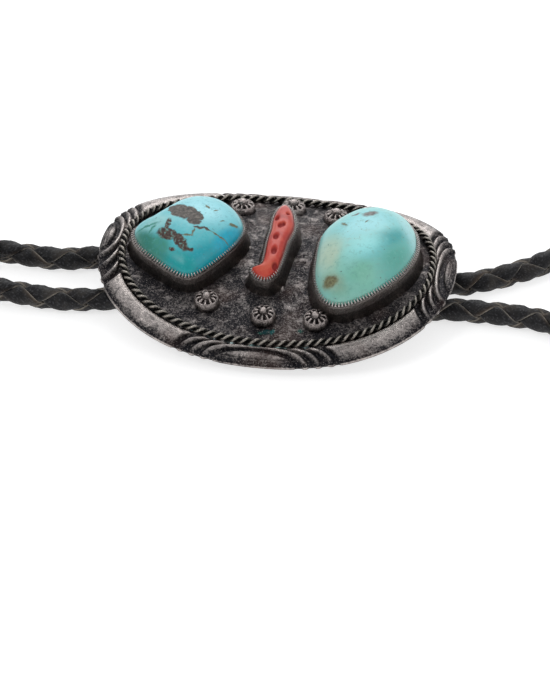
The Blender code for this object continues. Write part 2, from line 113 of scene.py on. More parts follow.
def add_node(tree, kind, feeds=None, stops=(), **fields):
    """Add a node. Fields are its settings. Feeds are values, hex colours, nodes or sockets for its inputs.
    Stops are the places and hex colours of a colour ramp."""
    node = tree.nodes.new(kind)
    for name, value in fields.items():
        setattr(node, name, value)
    for key, value in (feeds or {}).items():
        if isinstance(value, bpy.types.Node):
            value = value.outputs[0]
        if isinstance(value, bpy.types.NodeSocket):
            tree.links.new(value, node.inputs[key])
        else:
            node.inputs[key].default_value = linear(value) if str(value)[0] == "#" else value
    if stops:
        elements = node.color_ramp.elements
        while len(elements) < len(stops):
            elements.new(0.5)
        for element, (place, colour) in zip(elements, stops):
            element.position = place
            element.color = linear(colour)
    return node


# %% [markdown]
# ## Routes of the cord
# The cord's two runs pass through a clip behind the slide. On the left they end in metal tips, and on the
# right they join in the loop that goes round the neck. A table gives a few places, and a smooth curve
# through them is read at even steps.

# %% Routes of the cord
CORD_END_STEPS = 16
NECK_LOOP_STEPS = 76
LYING_GAP = 0.1 * MM
CORD_HEIGHT_LYING = CORD_RADIUS + LYING_GAP
CORD_HEIGHT_IN_CLIP = CLIP_WALL + CORD_RADIUS + CLEARANCE
TIP_MOUTH_RADIUS = 2.5 * MM
TIP_END_RADIUS = 1.6 * MM
TIP_LENGTH = 22 * MM
TIP_HEIGHT = TIP_MOUTH_RADIUS + LYING_GAP
SPLINE_STEPS = 12

CORD_END_BACK = (
    (-0.0205, 0.0034), (-0.0286, 0.0021), (-0.0345, 0.0009), (-0.0435, 0.0009),
)
CORD_END_FRONT = (
    (-0.0200, -0.0064), (-0.0268, -0.0081), (-0.0335, -0.0088), (-0.0430, -0.0083),
)
NECK_LOOP = (
    (0.0200, 0.0034), (0.0284, 0.0036), (0.0342, 0.0065), (0.0400, 0.0107), (0.0486, 0.0191),
    (0.0596, 0.0309), (0.0736, 0.0445), (0.0926, 0.0559), (0.1140, 0.0619), (0.1360, 0.0599),
    (0.1550, 0.0489), (0.1670, 0.0319), (0.1710, 0.0119), (0.1660, -0.0071), (0.1530, -0.0231),
    (0.1340, -0.0331), (0.1130, -0.0361), (0.0920, -0.0325), (0.0740, -0.0241), (0.0600, -0.0143),
    (0.0505, -0.0071), (0.0413, -0.0036), (0.0352, -0.0029), (0.0291, -0.0027), (0.0205, -0.0034),
)


def spline_value(a, b, c, d, t):
    """One coordinate of a Catmull-Rom curve between b and c."""
    square = 2 * a - 5 * b + 4 * c - d
    cube = 3 * b - a - 3 * c + d
    return 0.5 * (2 * b + (c - a) * t + square * t * t + cube * t ** 3)


def running_lengths(points):
    """The distance along a line of points, up to each of them."""
    lengths = [0.0]
    for before, after in zip(points, points[1:]):
        lengths.append(lengths[-1] + math.dist(before, after))
    return lengths


def even_places(lengths, count, steps):
    """Places at even steps along a line, each as the point before it and the share of the way to the next."""
    k = 0
    for step in range(count):
        wanted = lengths[-1] * step / steps
        while k < len(lengths) - 2 and lengths[k + 1] < wanted:
            k += 1
        yield k, (wanted - lengths[k]) / (lengths[k + 1] - lengths[k])


def smooth_route(points, count):
    """Read an open smooth curve through the points at evenly spaced places along it."""
    fine = []
    last = len(points) - 1
    for i in range(last):
        near = [points[min(max(i + k, 0), last)] for k in (-1, 0, 1, 2)]
        for step in range(SPLINE_STEPS):
            t = step / SPLINE_STEPS
            fine.append(Vector([spline_value(*(p[k] for p in near), t) for k in range(3)]))
    fine.append(Vector(points[-1]))
    return [fine[k].lerp(fine[k + 1], t) for k, t in even_places(running_lengths(fine), count, count - 1)]


def clip_run(side, y):
    """The stretch inside the clip, from its middle to its mouth on one side."""
    mouth = side * CLIP_LENGTH / 2
    return [(side * CLEARANCE / 2, y, CORD_HEIGHT_IN_CLIP), (mouth / 2, y, CORD_HEIGHT_IN_CLIP),
            (mouth, y, CORD_HEIGHT_IN_CLIP)]


def end_route(y, shown):
    """A free end: through the clip, onto the surface, and up to the mouth of its tip."""
    lying = [(x, across, CORD_HEIGHT_LYING) for x, across in shown]
    lying[-1] = (*shown[-1], TIP_HEIGHT)
    return smooth_route(clip_run(-1, y) + lying, CORD_END_STEPS)


def loop_route():
    """The neck loop, from one bore of the clip round to the other."""
    lying = [(x, y, CORD_HEIGHT_LYING) for x, y in NECK_LOOP]
    runs = clip_run(1, CORD_SPACING / 2), list(reversed(clip_run(1, -CORD_SPACING / 2)))
    return smooth_route(runs[0] + lying + runs[1], NECK_LOOP_STEPS)


def route_length(route):
    return running_lengths(route)[-1]


routes = {
    "cord_end_back": end_route(CORD_SPACING / 2, CORD_END_BACK),
    "cord_end_front": end_route(-CORD_SPACING / 2, CORD_END_FRONT),
    "neck_loop": loop_route(),
}
for name, route in routes.items():
    print(name, "length, mm:", round(route_length(route) / MM, 1))

# %% [markdown]
# ## Braided leather
# Bolo cord is a round braid of four flat leather laces. Two wind to the left and two to the right, and
# each passes over one and under the next. A lace could be modelled by hand along one repeat and arrayed,
# but a rule is simpler: Geometry Nodes take a flat grid, roll it into a lace, and place each point round
# the route by its angle and its height. One wave lifts a lace over and sinks it under.

# %% Braid tree
BRAID_PITCH = 12.8 * MM
LACE_WIDTH = 3.85 * MM
LACE_THICKNESS = 0.56 * MM
LACE_SQUARENESS = 0.45
LACE_CROWN = 0.12
LACE_CLOSING = 0.5 * MM
# The braid's sums, one Math node in each row: the name of the result, the operation and what goes in.
BRAID_SUMS = (
    ("turned", "GREATER_THAN", "number", 1.5),
    ("turned_twice", "MULTIPLY", "turned", 2.0),
    ("hand", "SUBTRACT", 1.0, "turned_twice"),
    ("phase", "MULTIPLY", "number", math.pi),
    ("lane", "MULTIPLY", "number", 0.1),
    ("from_edge", "ADD", "X", 0.5),
    ("round_lace", "MULTIPLY", "from_edge", 2 * math.pi),
    ("share", "ADD", "Y", 0.5),
    ("along", "MULTIPLY", "share", "length"),
    # The lace closes to a point at each end of the route.
    ("share_left", "SUBTRACT", 1.0, "share"),
    ("end_share", "MINIMUM", "share", "share_left"),
    ("to_end", "MULTIPLY", "end_share", "length"),
    ("opened", "DIVIDE", "to_end", LACE_CLOSING),
    ("cap", "MINIMUM", "opened", 1.0),
    # Its cross-section is a circle, squared a little and flattened.
    ("wide", "COSINE", "round_lace"),
    ("wide_sign", "SIGN", "wide"),
    ("wide_size", "ABSOLUTE", "wide"),
    ("wide_power", "POWER", "wide_size", LACE_SQUARENESS),
    ("soft_wide", "MULTIPLY", "wide_sign", "wide_power"),
    ("cut_edge", "ABSOLUTE", "soft_wide"),
    ("thick", "SINE", "round_lace"),
    ("thick_sign", "SIGN", "thick"),
    ("thick_size", "ABSOLUTE", "thick"),
    ("thick_power", "POWER", "thick_size", LACE_SQUARENESS),
    ("soft_thick", "MULTIPLY", "thick_sign", "thick_power"),
    ("half_lace", "MULTIPLY", "Lace Width", 0.5),
    ("half_width", "MULTIPLY", "half_lace", "cap"),
    ("off", "MULTIPLY", "soft_wide", "half_width"),
    # Slant of a lace to the cord, then its place along and round the cord.
    ("once_round", "MULTIPLY", "Radius", 2 * math.pi),
    ("slant", "ARCTAN2", "once_round", "Pitch"),
    ("slant_sine", "SINE", "slant"),
    ("slant_cosine", "COSINE", "slant"),
    ("aside", "MULTIPLY", "off", "slant_sine"),
    ("sideways", "MULTIPLY", "aside", "hand"),
    ("at", "SUBTRACT", "along", "sideways"),
    ("at_share", "DIVIDE", "at", "length"),
    ("pitches", "DIVIDE", "along", "Pitch"),
    ("wound", "MULTIPLY", "pitches", 2 * math.pi),
    ("wound_by_hand", "MULTIPLY", "wound", "hand"),
    ("start_angle", "ADD", "wound_by_hand", "phase"),
    ("across", "MULTIPLY", "off", "slant_cosine"),
    ("across_angle", "DIVIDE", "across", "Radius"),
    ("angle", "ADD", "start_angle", "across_angle"),
    # One wave lifts the lace over a neighbour and sinks it under the next.
    ("wound_twice", "MULTIPLY", "wound", 2.0),
    ("cosine", "COSINE", "wound_twice"),
    ("wave", "MULTIPLY", "cosine", "hand"),
    ("wave_square", "MULTIPLY", "wave", "wave"),
    ("half_square", "MULTIPLY", "wave_square", 0.5),
    ("steep", "SUBTRACT", 1.5, "half_square"),
    ("steep_wave", "MULTIPLY", "wave", "steep"),
    ("lift", "MULTIPLY", "steep_wave", 0.5),
    ("wide_square", "MULTIPLY", "soft_wide", "soft_wide"),
    ("crown", "MULTIPLY", "wide_square", -LACE_CROWN),
    ("raised", "ADD", "lift", "crown"),
    ("half_thick", "MULTIPLY", "soft_thick", 0.5),
    ("capped", "MULTIPLY", "half_thick", "cap"),
    ("level", "ADD", "raised", "capped"),
    ("height", "MULTIPLY", "level", "Lace Thickness"),
    ("middle", "SUBTRACT", "Radius", "Lace Thickness"),
    ("reach", "ADD", "middle", "height"),
    ("angle_cosine", "COSINE", "angle"),
    ("angle_sine", "SINE", "angle"),
    ("out", "MULTIPLY", "reach", "angle_cosine"),
    ("over", "MULTIPLY", "reach", "angle_sine"),
)


def new_rule(name, inputs):
    """A tree that takes a geometry, named inputs and a material, and gives a geometry."""
    tree = bpy.data.node_groups.new(name, "GeometryNodeTree")
    tree.interface.new_socket("Geometry", in_out="OUTPUT", socket_type="NodeSocketGeometry")
    for label, kind, value in (("Geometry", "Geometry", None), *inputs, ("Material", "Material", None)):
        socket = tree.interface.new_socket(label, in_out="INPUT", socket_type="NodeSocket" + kind)
        if value is not None:
            socket.default_value = value
    return tree, add_node(tree, "NodeGroupInput").outputs, add_node(tree, "NodeGroupOutput")


def braid_tree():
    """Four laces round a route. The lace's own cross-section runs along the grid's X."""
    tree, given, result = new_rule("round_braid", (
        ("Radius", "Float", CORD_RADIUS), ("Pitch", "Float", BRAID_PITCH),
        ("Lace Width", "Float", LACE_WIDTH), ("Lace Thickness", "Float", LACE_THICKNESS),
        ("Steps", "Int", 100)))
    route = given["Geometry"]
    lace = add_node(tree, "GeometryNodeMeshGrid", {"Size X": 1.0, "Size Y": 1.0, "Vertices X": 15,
                                                   "Vertices Y": given["Steps"]})
    starts = add_node(tree, "GeometryNodePoints", {"Count": 4})
    numbered = add_node(tree, "GeometryNodeStoreNamedAttribute", {
        "Geometry": starts, "Name": "lace",
        "Value": add_node(tree, "GeometryNodeInputIndex")}, data_type="FLOAT", domain="POINT")
    placed = add_node(tree, "GeometryNodeInstanceOnPoints", {
        "Points": numbered, "Instance": lace.outputs["Mesh"]})
    laces = add_node(tree, "GeometryNodeRealizeInstances", {"Geometry": placed})

    place = add_node(tree, "ShaderNodeSeparateXYZ", {0: add_node(tree, "GeometryNodeInputPosition")})
    number = add_node(tree, "GeometryNodeInputNamedAttribute", {"Name": "lace"}).outputs[0]
    sums = {"number": number, "X": place.outputs["X"], "Y": place.outputs["Y"],
            "length": add_node(tree, "GeometryNodeCurveLength", {"Curve": route}).outputs["Length"],
            **{name: given[name] for name in ("Radius", "Pitch", "Lace Width", "Lace Thickness")}}
    for name, operation, *values in BRAID_SUMS:
        feeds = {index: sums.get(value, value) for index, value in enumerate(values)}
        sums[name] = add_node(tree, "ShaderNodeMath", feeds, operation=operation).outputs[0]

    sample = add_node(tree, "GeometryNodeSampleCurve", {
        "Curves": route, "Factor": sums["at_share"]}, mode="FACTOR")
    side = add_node(tree, "ShaderNodeVectorMath", {0: sample.outputs["Tangent"],
                                                   1: sample.outputs["Normal"]}, operation="CROSS_PRODUCT")
    out = add_node(tree, "ShaderNodeVectorMath", {
        0: sample.outputs["Normal"], "Scale": sums["out"]}, operation="SCALE")
    over = add_node(tree, "ShaderNodeVectorMath", {0: side, "Scale": sums["over"]}, operation="SCALE")
    reach = add_node(tree, "ShaderNodeVectorMath", {0: out, 1: over})
    point = add_node(tree, "ShaderNodeVectorMath", {0: sample.outputs["Position"], 1: reach})

    # The material reads how near a point is to the lace's cut edge, and where it is along the lace.
    edged = add_node(tree, "GeometryNodeStoreNamedAttribute", {
        "Geometry": laces, "Name": "cut_edge", "Value": sums["cut_edge"]},
        data_type="FLOAT", domain="POINT")
    grained = add_node(tree, "GeometryNodeStoreNamedAttribute", {
        "Geometry": edged, "Name": "lace_place",
        "Value": add_node(tree, "ShaderNodeCombineXYZ", {
            "X": sums["along"], "Y": sums["off"], "Z": sums["lane"]})},
        data_type="FLOAT_VECTOR", domain="POINT")
    laid = add_node(tree, "GeometryNodeSetPosition", {"Geometry": grained, "Position": point})
    merged = add_node(tree, "GeometryNodeMergeByDistance", {"Geometry": laid, "Distance": 0.002 * MM})
    whole = add_node(tree, "GeometryNodeRealizeInstances", {"Geometry": merged})
    dressed = add_node(tree, "GeometryNodeSetMaterial", {"Geometry": whole, "Material": given["Material"]})
    tree.links.new(dressed.outputs[0], result.inputs[0])
    return tree


braid = braid_tree()
print("braid tree nodes:", len(braid.nodes))

# %% [markdown]
# ## From a rule to a plain mesh
# Export and other programs want plain meshes. So each Geometry Nodes result is read once as a mesh, and the
# object that carried the modifier is deleted. A modifier's inputs are set by the identifier of each socket.

# %% From a rule to a plain mesh
def grown_mesh(name, source, tree, values):
    """Run a tree on a source object and keep the result as a plain mesh piece."""
    modifier = source.modifiers.new("rule", "NODES")
    modifier.node_group = tree
    for item in tree.interface.items_tree:
        if item.in_out == "INPUT" and item.name in values:
            modifier[item.identifier] = values[item.name]
    depsgraph = bpy.context.evaluated_depsgraph_get()
    mesh = bpy.data.meshes.new_from_object(source.evaluated_get(depsgraph), depsgraph=depsgraph)
    source.modifiers.remove(modifier)
    bpy.data.objects.remove(source)
    mesh.name = name
    outward(mesh)
    return add_object(name, mesh)


def finish_piece(piece, slot, *nodes):
    """Tie a piece to the body and hide the solids that it stands for. Its slot, the finish, is not used."""
    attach(piece, "root")
    if nodes:
        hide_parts(*nodes)
    print(piece.name, "faces:", len(piece.data.polygons))
    return piece


def outward(mesh):
    """Point all faces outwards."""
    shape = bmesh.new()
    shape.from_mesh(mesh)
    bmesh.ops.recalc_face_normals(shape, faces=shape.faces)
    shape.to_mesh(mesh)
    shape.free()
    mesh.shade_smooth()


def route_curve(name, points, closed=False):
    """A curve object with one straight-stepped spline through the points."""
    curve = bpy.data.curves.new(name, "CURVE")
    curve.dimensions = "3D"
    spline = curve.splines.new("POLY")
    spline.points.add(len(points) - 1)
    for knot, place in zip(spline.points, points):
        knot.co = (*place, 1.0)
    spline.use_cyclic_u = closed
    return add_object(name, curve)


# %% [markdown]
# ## Finish: braided black leather
# The laces are cut from dyed cowhide. The dye sits on the grain side, so the cut edges and the worn high
# spots show the tan leather under it. Leather scatters light softly, with a dull sheen. The grain is drawn
# at about 0.45 mm and its pale flecks at 0.3 mm. Colour follows each lace through the attributes that the
# braid stored.

# %% Leather
def new_material(name):
    """A material with its Principled shader, tree and shader returned."""
    material = bpy.data.materials.new(name)
    material.use_nodes = True
    return material, material.node_tree, material.node_tree.nodes["Principled BSDF"]


def leather_material():
    material, tree, shader = new_material("dyed_cowhide_lace")
    place = add_node(tree, "ShaderNodeAttribute", attribute_name="lace_place").outputs["Vector"]
    edge = add_node(tree, "ShaderNodeAttribute", attribute_name="cut_edge").outputs["Fac"]
    wear_and_shade_value, fleck, faded = [add_node(tree, "ShaderNodeTexNoise", {
        "Vector": place, "Scale": scale, "Detail": detail}).outputs["Fac"]
        for scale, detail in ((420.0, 3.0), (3400.0, 2.0), (150.0, 2.0))]
    colour = add_node(tree, "ShaderNodeValToRGB", {"Fac": wear_and_shade_value},
                      ((0.30, "#0a0a0c"), (0.52, "#18181a"), (0.70, "#34312e")))
    pale = add_node(tree, "ShaderNodeMapRange", {
        "Value": fleck, "From Min": 0.52, "From Max": 0.72, "To Max": 0.55}).outputs[0]
    colour = add_node(tree, "ShaderNodeMix", {0: pale, 6: colour, 7: "#565559"}, data_type="RGBA").outputs[2]
    # Two edges: a broad one where the dye has faded to tan, and a thin pale line along the cut edge, a
    # painted highlight.
    for power, cause, low, high, most, tone in (
            (4.0, faded, 0.50, 0.66, 0.65, "#564431"), (26.0, wear_and_shade_value, 0.34, 0.50, 0.9, "#b5ada2")):
        near = add_node(tree, "ShaderNodeMath", {0: edge, 1: power}, operation="POWER").outputs[0]
        patchy = add_node(tree, "ShaderNodeMapRange", {
            "Value": cause, "From Min": low, "From Max": high, "To Max": most}).outputs[0]
        mask = add_node(tree, "ShaderNodeMath", {0: near, 1: patchy}, operation="MULTIPLY").outputs[0]
        colour = add_node(tree, "ShaderNodeMix", {0: mask, 6: colour, 7: tone}, data_type="RGBA").outputs[2]
    tree.links.new(colour, shader.inputs["Base Color"])
    grain = add_node(tree, "ShaderNodeTexVoronoi", {"Vector": place, "Scale": 2200.0}).outputs["Distance"]
    bump = add_node(tree, "ShaderNodeBump", {"Height": grain, "Strength": 0.6, "Distance": 0.08 * MM})
    tree.links.new(bump.outputs[0], shader.inputs["Normal"])
    rough = add_node(tree, "ShaderNodeMapRange", {"Value": wear_and_shade_value, "To Min": 0.42, "To Max": 0.70}).outputs[0]
    tree.links.new(rough, shader.inputs["Roughness"])
    shader.inputs["IOR"].default_value = 1.45
    shader.inputs["Specular IOR Level"].default_value = 0.28
    return material


leather = leather_material()

# %% Make the three cords
BRAID_STEPS_PER_PITCH = 22


def make_braid(name, route):
    steps = int(route_length(route) / BRAID_PITCH * BRAID_STEPS_PER_PITCH)
    source = route_curve(name + "_route", route)
    piece = grown_mesh(name + "_braid", source, braid, {"Steps": steps, "Material": leather})
    return finish_piece(piece, "black_leather", name)


cords = {name: make_braid(name, route) for name, route in routes.items()}

# %% [markdown]
# ## The slide's layout
# The slide is an oval that is a little fuller than an ellipse. It is laid out flat, with a place along its
# length and one across it, and then bent over an arch. Every piece of it uses the same two functions.

# %% The slide's layout
SLIDE_HALF_LENGTH = 27.4 * MM
SLIDE_HALF_WIDTH = 21.25 * MM
SLIDE_FULLNESS = 2.2
ARCH_RADIUS = 50 * MM
PLATE_THICKNESS = 0.8 * MM
LIP_HEIGHT = 0.5 * MM
RIM_WIDTH = 3.06 * MM
RIM_RISE = 0.7 * MM
WIRE_DIAMETER = 1.4 * MM
WIRE_REST = 0.6 * MM
FIELD_INSET = RIM_WIDTH + WIRE_DIAMETER
FIELD_HALF_LENGTH = SLIDE_HALF_LENGTH - FIELD_INSET
FIELD_HALF_WIDTH = SLIDE_HALF_WIDTH - FIELD_INSET
OVAL_STEPS = 7200


def arched(x, across, height):
    """Place a point of the flat layout on the arch. The height counts from the plate's underside."""
    turn = across / ARCH_RADIUS
    radius = ARCH_RADIUS + height
    return Vector((x, radius * math.sin(turn), PLATE_UNDERSIDE + radius * math.cos(turn) - ARCH_RADIUS))


def full_share(value):
    """Push a sine or cosine outwards, which fills out the corners of an ellipse."""
    return math.copysign(abs(value) ** (2 / SLIDE_FULLNESS), value)


def oval_flat(angle, inset):
    """A place on the slide's oval in the flat layout, moved in from its outer edge."""
    return ((SLIDE_HALF_LENGTH - inset) * full_share(math.cos(angle)),
            (SLIDE_HALF_WIDTH - inset) * full_share(math.sin(angle)))


def even_angles(count, inset):
    """Angles at even distances along the oval, with the distance of each from angle zero."""
    angles = [2 * math.pi * i / OVAL_STEPS for i in range(OVAL_STEPS + 1)]
    lengths = running_lengths([oval_flat(angle, inset) for angle in angles])
    around = lengths[-1]
    chosen = [(angles[k] + (angles[k + 1] - angles[k]) * share, around * step / count)
              for step, (k, share) in enumerate(even_places(lengths, count, count))]
    return chosen, around


# %% [markdown]
# ## Stamped rim and hammered field
# A silversmith stamps the rim with steel punches: a leaf at each end of both axes, with a ridge round it and
# two more slanting ridges on each side. Sculpting would do, but the stamps repeat, so the height of the rim
# is a function of two places: how far along the rim from the leaf, and how far in from the edge.
# The same function also says how worn each point is. High points are rubbed bright, low ones stay black.

# %% Height of the stamped rim
# Stamped groups, anticlockwise from the right end. Columns, in mm: how far the middle lies past the end
# of the axis, half length and height of the leaf, half length and height of the arch over it, and the steps
# of the slanting ridges before and after it.
STAMPS = (
    (-0.15, 3.9, 1.85, 6.00, 3.00, 1.9, 1.8),
    (0.0, 5.6, 2.10, 7.40, 2.90, 1.8, 1.8),
    (-1.90, 3.4, 2.00, 4.75, 2.95, 1.6, 2.4),
    (-0.65, 6.1, 2.40, 7.40, 3.30, 1.8, 1.9),
)
RIDGE_CLIMB = 0.85
RIDGE_HALF_WIDTH = 0.52
RIDGES_PER_SIDE = 3
BAND_START = 0.95
BAND_BLEND = 0.5
GROOVE_DEPTH = 0.72
GROOVE_FLOOR = PLATE_THICKNESS * 0.4
LEAF_EDGE = 0.25
LEAF_CROWN = 0.28
LEAF_CROWN_REACH = 1.2
LEAF_LINE_PITCH = 0.42
LEAF_LINE_DEPTH = 0.16
LEAF_LINES_TO = 1.1
LIP_WIDTH = 0.26 * MM
LIP_START = LIP_HEIGHT * 0.85
SCALLOP = 0.22 * MM
# The rim's crown: its place across the rim and how far it reaches to each side, as shares of the rim's width.
CROWN_PLACE = 0.62
CROWN_REACH = 0.65
INNER_EDGE_PLACE = 0.72
INNER_EDGE_BLEND = 0.14


def soft_step(value):
    value = min(max(value, 0.0), 1.0)
    return value * value * (3 - 2 * value)


def past_arch(x, y, half_length, height):
    """Distance of a point outside an arch, half an ellipse on the rim's edge. Inside, it is below 0."""
    reach = math.hypot(x / half_length, y / height)
    steep = math.hypot(x / half_length ** 2, y / height ** 2)
    return (reach - 1) * reach / steep if steep else -height


def ridge(distance):
    """A rounded ridge, one on its line and nothing past its half width."""
    share = min(abs(distance) / RIDGE_HALF_WIDTH, 1.0)
    return (1 - share * share) ** 0.8


def rim_relief(x, y, stamp):
    """How much of its full height the rim keeps. All sizes here are in mm."""
    _, leaf_length, leaf_height, arch_length, arch_height, step_before, step_after = stamp
    inside = -past_arch(x, y, leaf_length, leaf_height)
    keep = soft_step(inside / LEAF_EDGE)
    keep *= 1 - LEAF_CROWN + LEAF_CROWN * soft_step(inside / LEAF_CROWN_REACH)
    if y < LEAF_LINES_TO:
        keep *= 1 - LEAF_LINE_DEPTH * (1 - math.cos(2 * math.pi * y / LEAF_LINE_PITCH))
    step = step_after if x > 0 else step_before
    for i in range(RIDGES_PER_SIDE):
        line = past_arch(x, y, arch_length + i * step, arch_height + i * RIDGE_CLIMB)
        keep = max(keep, ridge(line))
    return max(keep, soft_step((line - BAND_START) / BAND_BLEND))


def rim_height(y, keep):
    """Height above the plate's underside, and how worn the point is."""
    share = max(y - LIP_WIDTH, 0.0) / (RIM_WIDTH - LIP_WIDTH)
    crown = max(1 - ((share - CROWN_PLACE) / CROWN_REACH) ** 2, 0) ** 0.6
    full = LIP_START + (PLATE_THICKNESS + RIM_RISE - LIP_START) * crown
    edge = soft_step((share - INNER_EDGE_PLACE) / INNER_EDGE_BLEND)
    worn = keep * (0.06 + 0.56 * crown ** 1.4 + 0.55 * edge)
    return GROOVE_FLOOR + (full - GROOVE_FLOOR) * (1 - GROOVE_DEPTH * (1 - keep)), worn


# %% Build the slide's body
RIM_STEPS = 880
RIM_ROWS = 26
FIELD_ROWS = 30
UNDERSIDE_SHARES = (0.05, 0.25, 0.45, 0.65, 0.82, 0.94)
# The plate's cut edge, from the underside up: inset and height in mm, and wear.
EDGE_SECTION = ((0.1, 0.0, 0.3), (0.0, 0.1, 0.5), (0.0, 0.36, 0.7), (0.07, 0.45, 0.9))
EDGE_DEPTH_PLACE = 0.15
FIELD_SEAT = RIM_WIDTH + 0.15 * MM
FIELD_WEAR = 0.17
LUMP_WEAR = 1.5


def field_bumps(x, across):
    """Hammer marks and old solder on the field, as a small height."""
    point = Vector((x / MM, across / MM, 0.0))
    soft = noise.noise(point * 0.45) * 0.10 + noise.noise(point * 1.3) * 0.06
    lumps = max(noise.noise(point * 0.9 + Vector((7.0, 3.0, 1.0))) - 0.20, 0.0) * 0.5
    return (soft + lumps) * MM


def stamp_at(length, around):
    """The nearest stamped group and how far along the rim its middle is, in mm."""
    quarter = round(4 * length / around)
    stamp = STAMPS[quarter % 4]
    return (length - quarter * around / 4) / MM - stamp[0], stamp


def slide_rows():
    """All rows of the body, from the middle of the underside round the edge to the middle of the field."""
    angles, around = even_angles(RIM_STEPS, RIM_WIDTH / 2)
    stamps = [stamp_at(length, around) for _, length in angles]
    edge = [rim_relief(x, EDGE_DEPTH_PLACE, stamp) for x, stamp in stamps]
    rows = []
    for share in UNDERSIDE_SHARES:
        rows.append([(SLIDE_HALF_LENGTH * share * full_share(math.cos(a)),
                      SLIDE_HALF_WIDTH * share * full_share(math.sin(a)), 0.0, 0.25) for a, _ in angles])
    for inset, height, wear_and_shade_value in EDGE_SECTION:
        ring = []
        for (a, _), keep in zip(angles, edge):
            ring.append((*oval_flat(a, inset * MM + SCALLOP * (1 - keep)), height * MM * (0.7 + 0.3 * keep),
                         wear_and_shade_value * (0.3 + 0.7 * keep)))
        rows.append(ring)
    for row in range(RIM_ROWS):
        y = LIP_WIDTH / 2 + (RIM_WIDTH - LIP_WIDTH / 2) * row / (RIM_ROWS - 1)
        ring = []
        for (a, _), (x, stamp), kept in zip(angles, stamps, edge):
            height, wear_and_shade_value = rim_height(y, rim_relief(x, y / MM, stamp))
            inset = y + SCALLOP * (1 - kept) * (1 - y / RIM_WIDTH)
            ring.append((*oval_flat(a, inset), height, wear_and_shade_value))
        rows.append(ring)
    for row in range(FIELD_ROWS):
        share = (1 - row / FIELD_ROWS)
        ring = []
        for a, _ in angles:
            x = (SLIDE_HALF_LENGTH - FIELD_SEAT) * share * full_share(math.cos(a))
            across = (SLIDE_HALF_WIDTH - FIELD_SEAT) * share * full_share(math.sin(a))
            bump = field_bumps(x, across) if row > 1 else 0.0
            wear_and_shade_value = FIELD_WEAR + max(bump / MM, 0.0) * LUMP_WEAR
            ring.append((x, across, PLATE_THICKNESS + bump, wear_and_shade_value))
        rows.append(ring)
    return rows


def point_mesh(name, points, faces):
    """A smooth mesh object from points and faces."""
    mesh = bpy.data.meshes.new(name)
    mesh.from_pydata(points, [], faces)
    outward(mesh)
    return add_object(name, mesh)


def ring_mesh(name, rings, material, worn=None, closed=False):
    """Join rings of points to a mesh, with a fan at each end, or closed from the last ring to the first."""
    count = len(rings[0])
    total = len(rings)
    points = [p for ring in rings for p in ring]
    faces = []
    for k in range(total if closed else total - 1):
        after = (k + 1) % total * count
        for i in range(count):
            j = (i + 1) % count
            faces.append((k * count + i, k * count + j, after + j, after + i))
    for ring, start in () if closed else ((rings[0], 0), (rings[-1], (total - 1) * count)):
        points.append(sum(ring, Vector()) / count)
        faces += [(start + i, start + (i + 1) % count, len(points) - 1) for i in range(count)]
    piece = point_mesh(name, points, faces)
    piece.data.materials.append(material)
    if worn is not None:
        values = worn if closed else worn + [worn[0], worn[-1]]
        piece.data.attributes.new("worn", "FLOAT", "POINT").data.foreach_set("value", values)
    return piece


# %% [markdown]
# ## Spots of colour
# Real stones and old silver are marked in places, not evenly. An image could hold such marks, but spots in
# the material stay sharp at any size. Each is a circle, squashed and turned by a Mapping node, and noise that
# pushes the coordinates about gives it a ragged edge.

# %% Spots of colour
def noisy_place(tree, amount, scale):
    """Object coordinates, pushed about by noise, so that what is drawn on them has a ragged edge."""
    place = add_node(tree, "ShaderNodeTexCoord").outputs["Object"]
    swirl = add_node(tree, "ShaderNodeTexNoise", {"Vector": place, "Scale": scale, "Detail": 4.0,
                                                  "Roughness": 0.62}).outputs["Color"]
    shift = add_node(tree, "ShaderNodeVectorMath", {0: swirl, 1: (0.5, 0.5, 0.5)}, operation="SUBTRACT")
    push = add_node(tree, "ShaderNodeVectorMath", {0: shift, "Scale": amount}, operation="SCALE")
    return place, add_node(tree, "ShaderNodeVectorMath", {0: place, 1: push}).outputs[0]


def spot(tree, place, middle, size, turn=0.0, soft=0.35):
    """One squashed round spot: 1 inside, 0 outside. Sizes are in mm and height is left out."""
    flat = add_node(tree, "ShaderNodeVectorMath", {0: place, 1: (1.0, 1.0, 0.0)}, operation="MULTIPLY")
    local = add_node(tree, "ShaderNodeMapping", {
        "Vector": flat, "Location": (middle[0] * MM, middle[1] * MM, 0.0),
        "Rotation": (0.0, 0.0, math.radians(turn)),
        "Scale": (size[0] * MM, size[1] * MM, 1.0)}, vector_type="TEXTURE")
    reach = add_node(tree, "ShaderNodeVectorMath", {0: local}, operation="LENGTH").outputs["Value"]
    return add_node(tree, "ShaderNodeMapRange", {
        "Value": reach, "From Min": 1.0 + soft, "From Max": 1.0 - soft},
        interpolation_type="SMOOTHSTEP").outputs[0]


def strongest(tree, masks):
    """The largest of several masks."""
    result = masks[0]
    for mask in masks[1:]:
        result = add_node(tree, "ShaderNodeMath", {0: result, 1: mask}, operation="MAXIMUM").outputs[0]
    return result


def paint(tree, place, colour, spots):
    """Lay a table of spots over a colour."""
    for x, y, long, short, turn, soft, tone in spots:
        mask = spot(tree, place, (x, y), (long, short), turn, soft)
        colour = add_node(tree, "ShaderNodeMix", {0: mask, 6: colour, 7: tone}, data_type="RGBA").outputs[2]
    return colour
